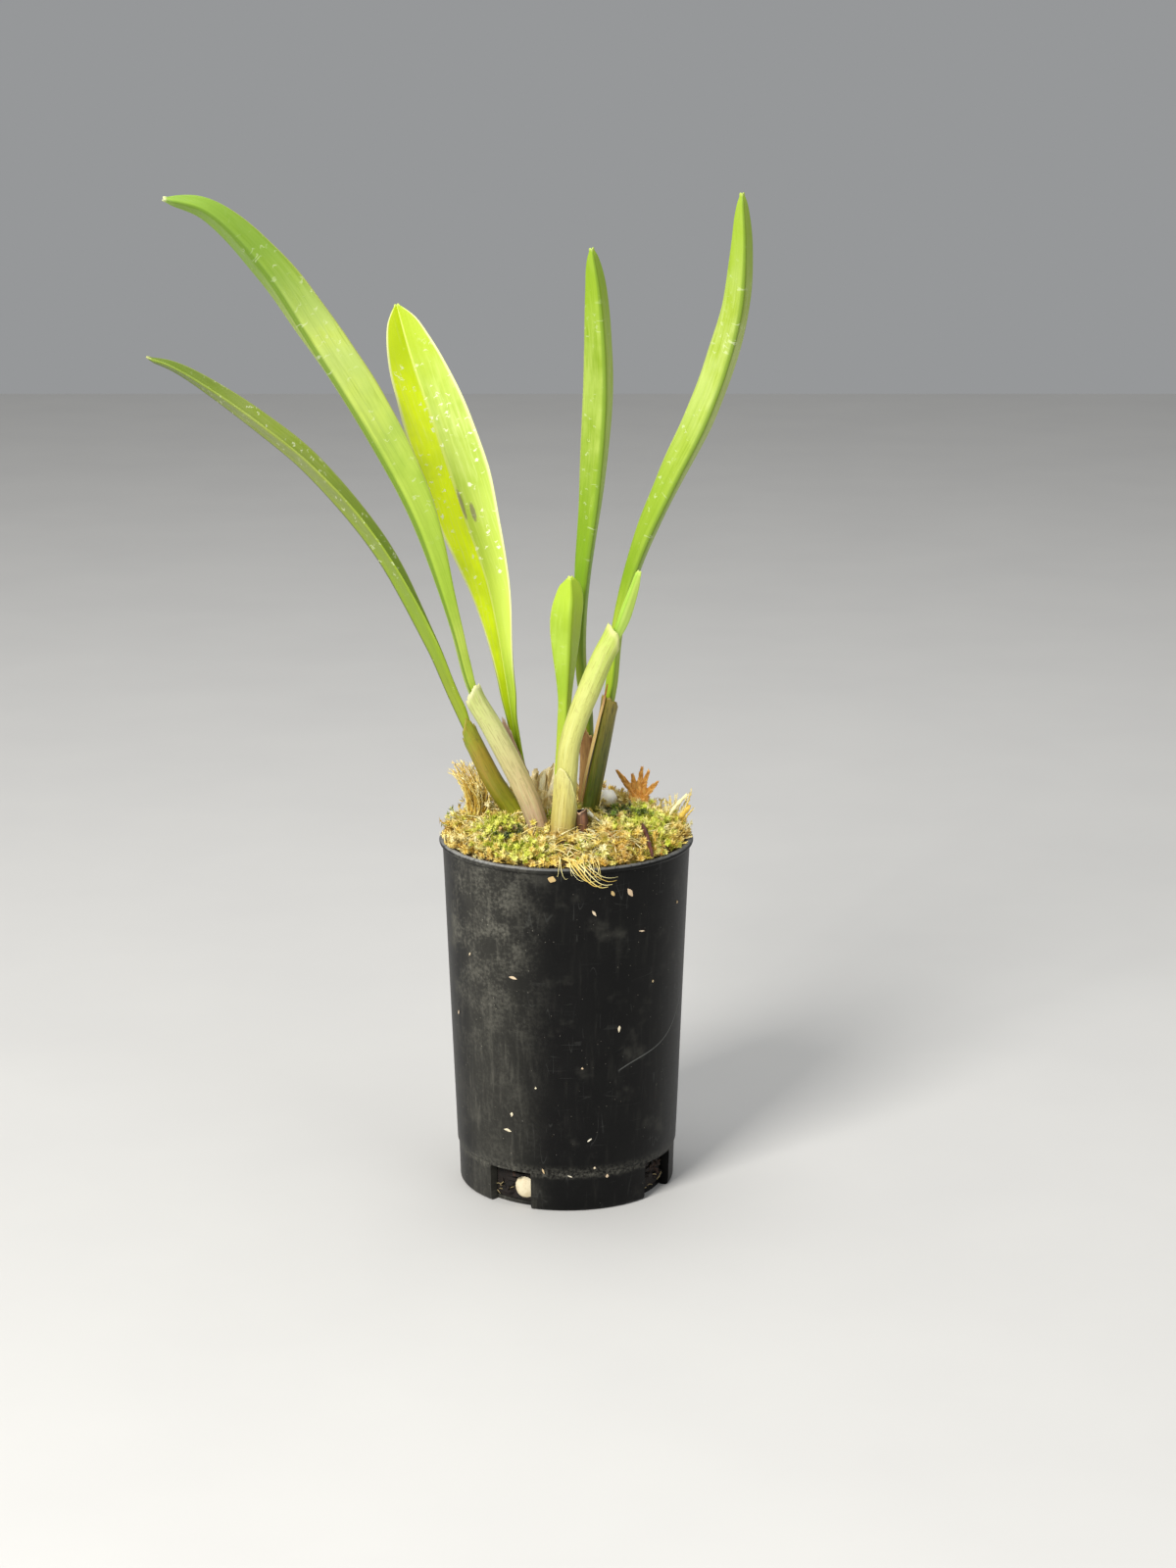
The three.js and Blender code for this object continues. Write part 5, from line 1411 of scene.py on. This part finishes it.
def scrapFinish(name, stops, creaseShade):
    f = Finish(name)
    tint, u, v = f.value("tint"), f.value("along"), f.value("across")
    fibres = f.noise(1.6, 3, f.vector(v * 3, u * 1.2, tint * 20))
    mottle = f.noise(500, 3)
    colour = f.ramp(tint * 0.8 + (mottle - 0.5) * 0.5 + 0.1, stops)
    edge = f.mask(f.maths("ABSOLUTE", v), 0.85, 1.0)
    # darker streaks along the fibres stand for creases as painted shade
    colour = f.over(colour, (f.mask(fibres, 0.5, 0.72) * 0.25, creaseShade), (edge * 0.35, (244, 232, 204)))
    return f.surface(colour, 0.6 + mottle * 0.2, fibres + mottle * 0.4, 0.0002, 0.6)


dress("dry_tuft", buildFeathers(bunches["dry_tuft"]), mossFinish("dryFeather"))
growth = buildFeathers(bunches["rim_sprigs"])
# a pale finger and a tan one among the feathers
addStalk(growth, [(28.6, 3.2, 104), (30.9, 2.7, 107.2), (33.4, 2.3, 110)], [0.4, 0.52, 0.5, 0.3], 0.07, 5,
         tint=0.03, height=0.9)
addStalk(growth, [(30.6, 3, 102.4), (32.8, 2, 105), (34.2, 1.4, 107)], [0.5, 0.7, 0.65, 0.35], 0.1, 6,
         tint=0.42, height=0.85)
dress("rim_sprigs", growth, mossFinish("paleFeather"))
# the paper colours are lifted near white as painted light, for the light the clump catches between the stalks
creamPaperPaintedLight = [(0.0, (255, 248, 216)), (0.45, (250, 232, 180)), (0.75, (226, 192, 122)), (1.0, (160, 122, 64))]
dress("papery_clump", buildPaperyClump(bunches["papery_clump"]),
      scrapFinish("creamPaperPaintedLight", creamPaperPaintedLight, (206, 176, 124)))

# Fern-like sprig: arched ribs with broad overlapping lobes
fern = {
    "foot": (19.5, 15, 101), "seed": 81,
    "ribs": [((18.4, 15.6, 107), (14.6, 16, 112.4)), ((20.4, 15.4, 108), (21, 16, 113.2)),
             ((21.6, 14.6, 106), (24.6, 14, 109.6)), ((19.4, 15.6, 107), (18.6, 16, 111)),
             ((20.6, 14.9, 107), (22.6, 15, 112.2))],
    "colours": [(0.0, (250, 208, 124)), (0.4, (238, 176, 84)), (0.75, (216, 146, 58)), (1.0, (150, 92, 32))],
    "lobes": 13, "lobeLength": 3.4, "lobeWidth": 1.25,
}


def buildFern():
    random = np.random.default_rng(fern["seed"])
    growth = Growth()
    forward = np.array([0, -1.0, 0])
    for rib in fern["ribs"]:
        spine = Spine([fern["foot"], *rib])
        share = np.linspace(0, 1, 12)
        path = spine.point(share)
        addScrap(growth, random, path, 0.9 * (1 - 0.6 * share), 0.04, columns=5, tint=0.35)
        for k in range(fern["lobes"]):
            place = 0.22 + 0.76 * k / (fern["lobes"] - 1)
            base, tangent = spine.point(place), spine.tangent(place)
            side = unit(np.cross(tangent, forward))
            for sign in (-1, 1):
                lean = lerp(0.85, 0.12, place) * random.uniform(0.8, 1.2)
                out = unit(tangent * math.cos(lean) + side * sign * math.sin(lean)
                           + forward * random.uniform(-0.25, 0.3))
                size = fern["lobeLength"] * (1 - 0.45 * place) * random.uniform(0.8, 1.15) * mm
                end = base + out * size
                middle = lerp(base, end, 0.5) + forward * random.uniform(-0.3, 0.4) * mm
                strip = bezierPaths(base[None], middle[None], end[None], 9)[0]
                flat = unit(np.cross(out, forward))
                t = np.linspace(0, 1, 9)
                width = fern["lobeWidth"] * (0.5 + np.sin(t * math.pi * 0.9)) * (1 - t) ** 0.7 * (1.15 - 0.6
                                                                                                  * place)
                v = np.linspace(-1, 1, 6)
                ripple = 0.1 * waves(int(random.integers(9999)), 1.0, t[:, None] * 8, v[None, :] * 3)
                grid = (strip[:, None] + flat * (v[None, :, None] * width[:, None, None] / 2 * mm)
                        + forward * ((ripple - 0.18 * v[None, :] ** 2) * mm)[..., None])
                growth.add(grid, gridFaces(9, 6), along=np.repeat(t, 6), across=np.tile(v, 9),
                           tint=random.uniform(0.2, 0.9))
    return growth


dress("fern_sprig", buildFern(), scrapFinish("dryFern", fern["colours"], (176, 112, 46)))

# Strands over the front of the rim
rimStrands = {
    "seed": 91,
    # start and end angle from the front, lowest height, radius and tint
    "broad": [(2.5, 13, 95.6, 0.2, 0.3), (4, 15.5, 94.4, 0.27, 0.45), (5, 18.5, 93.9, 0.22, 0.24),
              (6.5, 20.5, 94.5, 0.2, 0.12), (8, 22.5, 95.4, 0.15, 0.5), (9.5, 23, 96.4, 0.12, 0.1)],
    "fine": 17, "from": -4, "to": 16,
}


def strandPath(start, end, low, lift):
    route = []
    for share, radius, height in ((-0.5, 29.6, 100.4 + lift), (-0.1, 33.2, 100.5 + lift), (0.12, 35.65, 99.2),
                                  (0.45, 35.95, lerp(98, low, 0.55)), (0.75, 35.85, low),
                                  (1, 35.7, low + 0.25 * lift)):
        a = math.radians(lerp(start, end, share))
        route.append((radius * math.sin(a), -radius * math.cos(a), height))
    return Spine(route).point(np.linspace(0, 1, 24))[None]


def buildRimStrands():
    random = np.random.default_rng(rimStrands["seed"])
    growth = Growth()
    plans = [plan + (0.2,) for plan in rimStrands["broad"]]
    for _ in range(rimStrands["fine"]):
        start = random.uniform(rimStrands["from"], rimStrands["to"])
        plans.append((start, start + random.uniform(-3, 8), random.uniform(94.6, 98.2),
                      random.uniform(0.06, 0.12),
                      random.uniform(0, 0.2), random.uniform(0, 1)))
    for start, end, low, thick, tint, lift in plans:
        path = strandPath(start, end, low, lift)
        frames = pathFrames(path, random)
        radii = thick * (1 - 0.75 * np.linspace(0, 1, 24) ** 2.5) * mm
        points = tubePoints(path, frames, radii, 6)
        points[..., 2] += 0.05 * mm * waves(int(random.integers(999)), 900, points[..., 0], points[..., 2])
        growth.add(points, tubeFaces(1, 24, 6), tint=tint, green=random.uniform(0, 0.3), height=0.9)
    return growth


dress("rim_strands", buildRimStrands(), mossFinish("paleStraw"))
print("dry bits placed")


# Small things in the moss
def blobPoints(centre, size, turn, power, seed, roughness):
    rows, columns = 28, 40
    polar, around = np.meshgrid(np.linspace(0, math.pi, rows), fullTurn(columns), indexing="ij")
    ball = np.stack([np.sin(polar) * np.cos(around), np.sin(polar) * np.sin(around), np.cos(polar)], -1)
    shaped = np.sign(ball) * np.abs(ball) ** power
    shaped = shaped * (1 + roughness * waves(seed, 2.2, *np.moveaxis(ball, -1, 0)))[...,
                                                                                    None] * np.array(size)
    x, y, z = np.moveaxis(shaped, -1, 0)
    x, y = x * math.cos(turn) - y * math.sin(turn), x * math.sin(turn) + y * math.cos(turn)
    return (np.stack([x, y, z], -1) + np.array(centre)) * mm, gridFaces(rows, columns, closed=True)


def speckledFinish(name, colour, patch, dark, roughness, scale=420, **uniform):
    f = Finish(name)
    cloud, fine = f.noise(scale, 3), f.noise(scale * 5, 3)
    mixed = f.over(colour, (f.mask(cloud, 0.4, 0.7), patch), (f.mask(fine, 0.55, 0.8) * 0.5, dark))
    return f.surface(mixed, roughness + cloud * 0.15, cloud + fine * 0.4, 0.0001, 0.5, **uniform)


growth = Growth()
growth.add(*blobPoints(pebble["centre"], pebble["size"], math.radians(pebble["turn"]), 0.92, 2, 0.012))
dress("pebble", growth, speckledFinish("creamPebble", (226, 214, 182), (208, 192, 156), (168, 148, 112), 0.6))

chip = {"outline": [(-2.2, -1.6), (1.4, -2.4), (2.8, 0.2), (1.2, 2.6), (-1.8, 2.2)], "thickness": 1,
        "tilt": 62, "turn": -14, "place": (11.6, 18.6, 104.5)}


def buildChip():
    shape = bmesh.new()
    half = chip["thickness"] / 2
    rings = [[shape.verts.new((x * mm, y * mm, z * mm)) for x, y in chip["outline"]] for z in (-half, half)]
    shape.faces.new(rings[0][::-1])
    shape.faces.new(rings[1])
    for k in range(5):
        shape.faces.new((rings[0][k], rings[0][(k + 1) % 5], rings[1][(k + 1) % 5], rings[1][k]))
    bmesh.ops.bevel(shape, geom=shape.edges[:], offset=0.22 * mm, segments=3, affect="EDGES")
    bmesh.ops.subdivide_edges(shape, edges=shape.edges[:], cuts=2, use_grid_fill=True)
    tilt, turn = math.radians(chip["tilt"]), math.radians(chip["turn"])
    for v in shape.verts:
        x, y, z = v.co
        y, z = y * math.cos(tilt) - z * math.sin(tilt), y * math.sin(tilt) + z * math.cos(tilt)
        x, y = x * math.cos(turn) - y * math.sin(turn), x * math.sin(turn) + y * math.cos(turn)
        v.co = Vector((x, y, z)) + Vector(chip["place"]) * mm
    mesh = meshFrom(shape, "whiteChip")
    mesh.shade_smooth()
    return mesh


dress("white_chip", buildChip(),
      speckledFinish("whiteMineral", (255, 252, 238), (240, 236, 214), (218, 212, 178), 0.35, 300,
                     Subsurface_Weight=0.3,
                     Subsurface_Radius=(0.002, 0.002, 0.0015), Subsurface_Scale=1.0))

growth = Growth()
addStalk(growth, [(3.2, -1, 103.6), (4.9, -1.6, 106), (6.4, -3.6, 105.9), (9.2, -6.4, 104.6)],
         [0.95, 0.95, 0.9, 0.5, 0.12], 0.03, 3)
dress("root_tip", growth,
      speckledFinish("whiteRoot", (240, 238, 224), (222, 222, 190), (196, 200, 150), 0.4, 500,
                     Subsurface_Weight=0.2,
                     Subsurface_Radius=(0.001, 0.001, 0.0008), Subsurface_Scale=1.0))

growth = Growth()
addStalk(growth, [(20.3, -8, 104.8), (21.6, -16, 104.2), (22.6, -22.6, 102.2), (23.2, -27.4, 100.7)],
         [0.35, 0.55, 0.62, 0.55, 0.5, 0.4], 0.06, 4)
dress("twig", growth, speckledFinish("redBrownTwig", (84, 40, 30), (58, 26, 20), (118, 66, 50), 0.5, 500))

# Old bract: a dry split tube with an open mouth
bract = {"route": [(4.4, -12.6, 100.6), (4.6, -13, 104.5), (4.2, -12.4, 109.2)],
         "radii": [0.35, 1.0, 1.45, 1.7, 1.65, 1.5], "wall": 0.25, "seed": 6}


def buildBract():
    growth = Growth()
    rows, sides = 40, 30
    path = Spine(bract["route"]).point(np.linspace(0, 1, rows))[None]
    frames = pathFrames(path, np.random.default_rng(bract["seed"]))
    share = np.linspace(0, 1, rows)
    turn = fullTurn(sides)
    shells = []
    for inset in (0, bract["wall"]):
        radii = np.maximum(along(bract["radii"], share) - inset, 0.08) * mm
        points = tubePoints(path, frames, radii, sides)[0]
        bump = 0.09 * waves(9, 1.0, share[:, None] * 5, np.cos(turn)[None] * 2.6, np.sin(turn)[None] * 2.6)
        points = points + (points - path[0][:, None]) / radii[:, None, None] * (bump * mm)[..., None]
        lift = 0.5 * waves(10, 1.0, np.cos(turn) * 1.6, np.sin(turn) * 1.6)
        points[:, :, 2] += (smooth((share - 0.7) / 0.3)[:, None] * lift[None]) * mm
        shells.append(points)
    grid = np.concatenate([shells[0], shells[1][::-1][: rows // 2]])
    total = len(grid)
    # the inner wall near the mouth is given along values past the end, so it takes the darkest colour as
    # painted shade inside the tube
    places = np.concatenate([share, np.full(rows // 2, 1.2)])
    growth.add(grid, gridFaces(total, sides, closed=True), along=np.repeat(places, sides),
               across=np.tile(np.cos(turn - 2.2), total))
    return growth


def bractFinish():
    f = Finish("oldBract")
    u, side = f.value("along"), f.value("across")
    fibres = f.noise(1.4, 4, f.vector(side * 5, u * 0.9, 2.0))
    mottle = f.noise(600, 3)
    # the last, near-black stop is the painted shade on the inner wall
    colour = f.ramp(u + (mottle - 0.5) * 0.2, [(0.0, (54, 34, 16)), (0.4, (84, 54, 26)), (0.93, (74, 48, 26)),
                                               (0.985, (198, 160, 128)), (1.0, (24, 14, 10))])
    worn = f.mask(side, 0.75, 0.98) * f.mask(u, 0.25, 0.5) * (1 - f.mask(u, 0.8, 0.95))
    colour = f.over(colour, (worn * 0.4, (190, 130, 92)), (f.mask(fibres, 0.5, 0.7) * 0.6, (54, 34, 20)))
    return f.surface(colour, 0.6 + mottle * 0.2, fibres + mottle * 0.4, 0.0003, 0.7)


dress("old_bract", buildBract(), bractFinish())
print("small things placed")
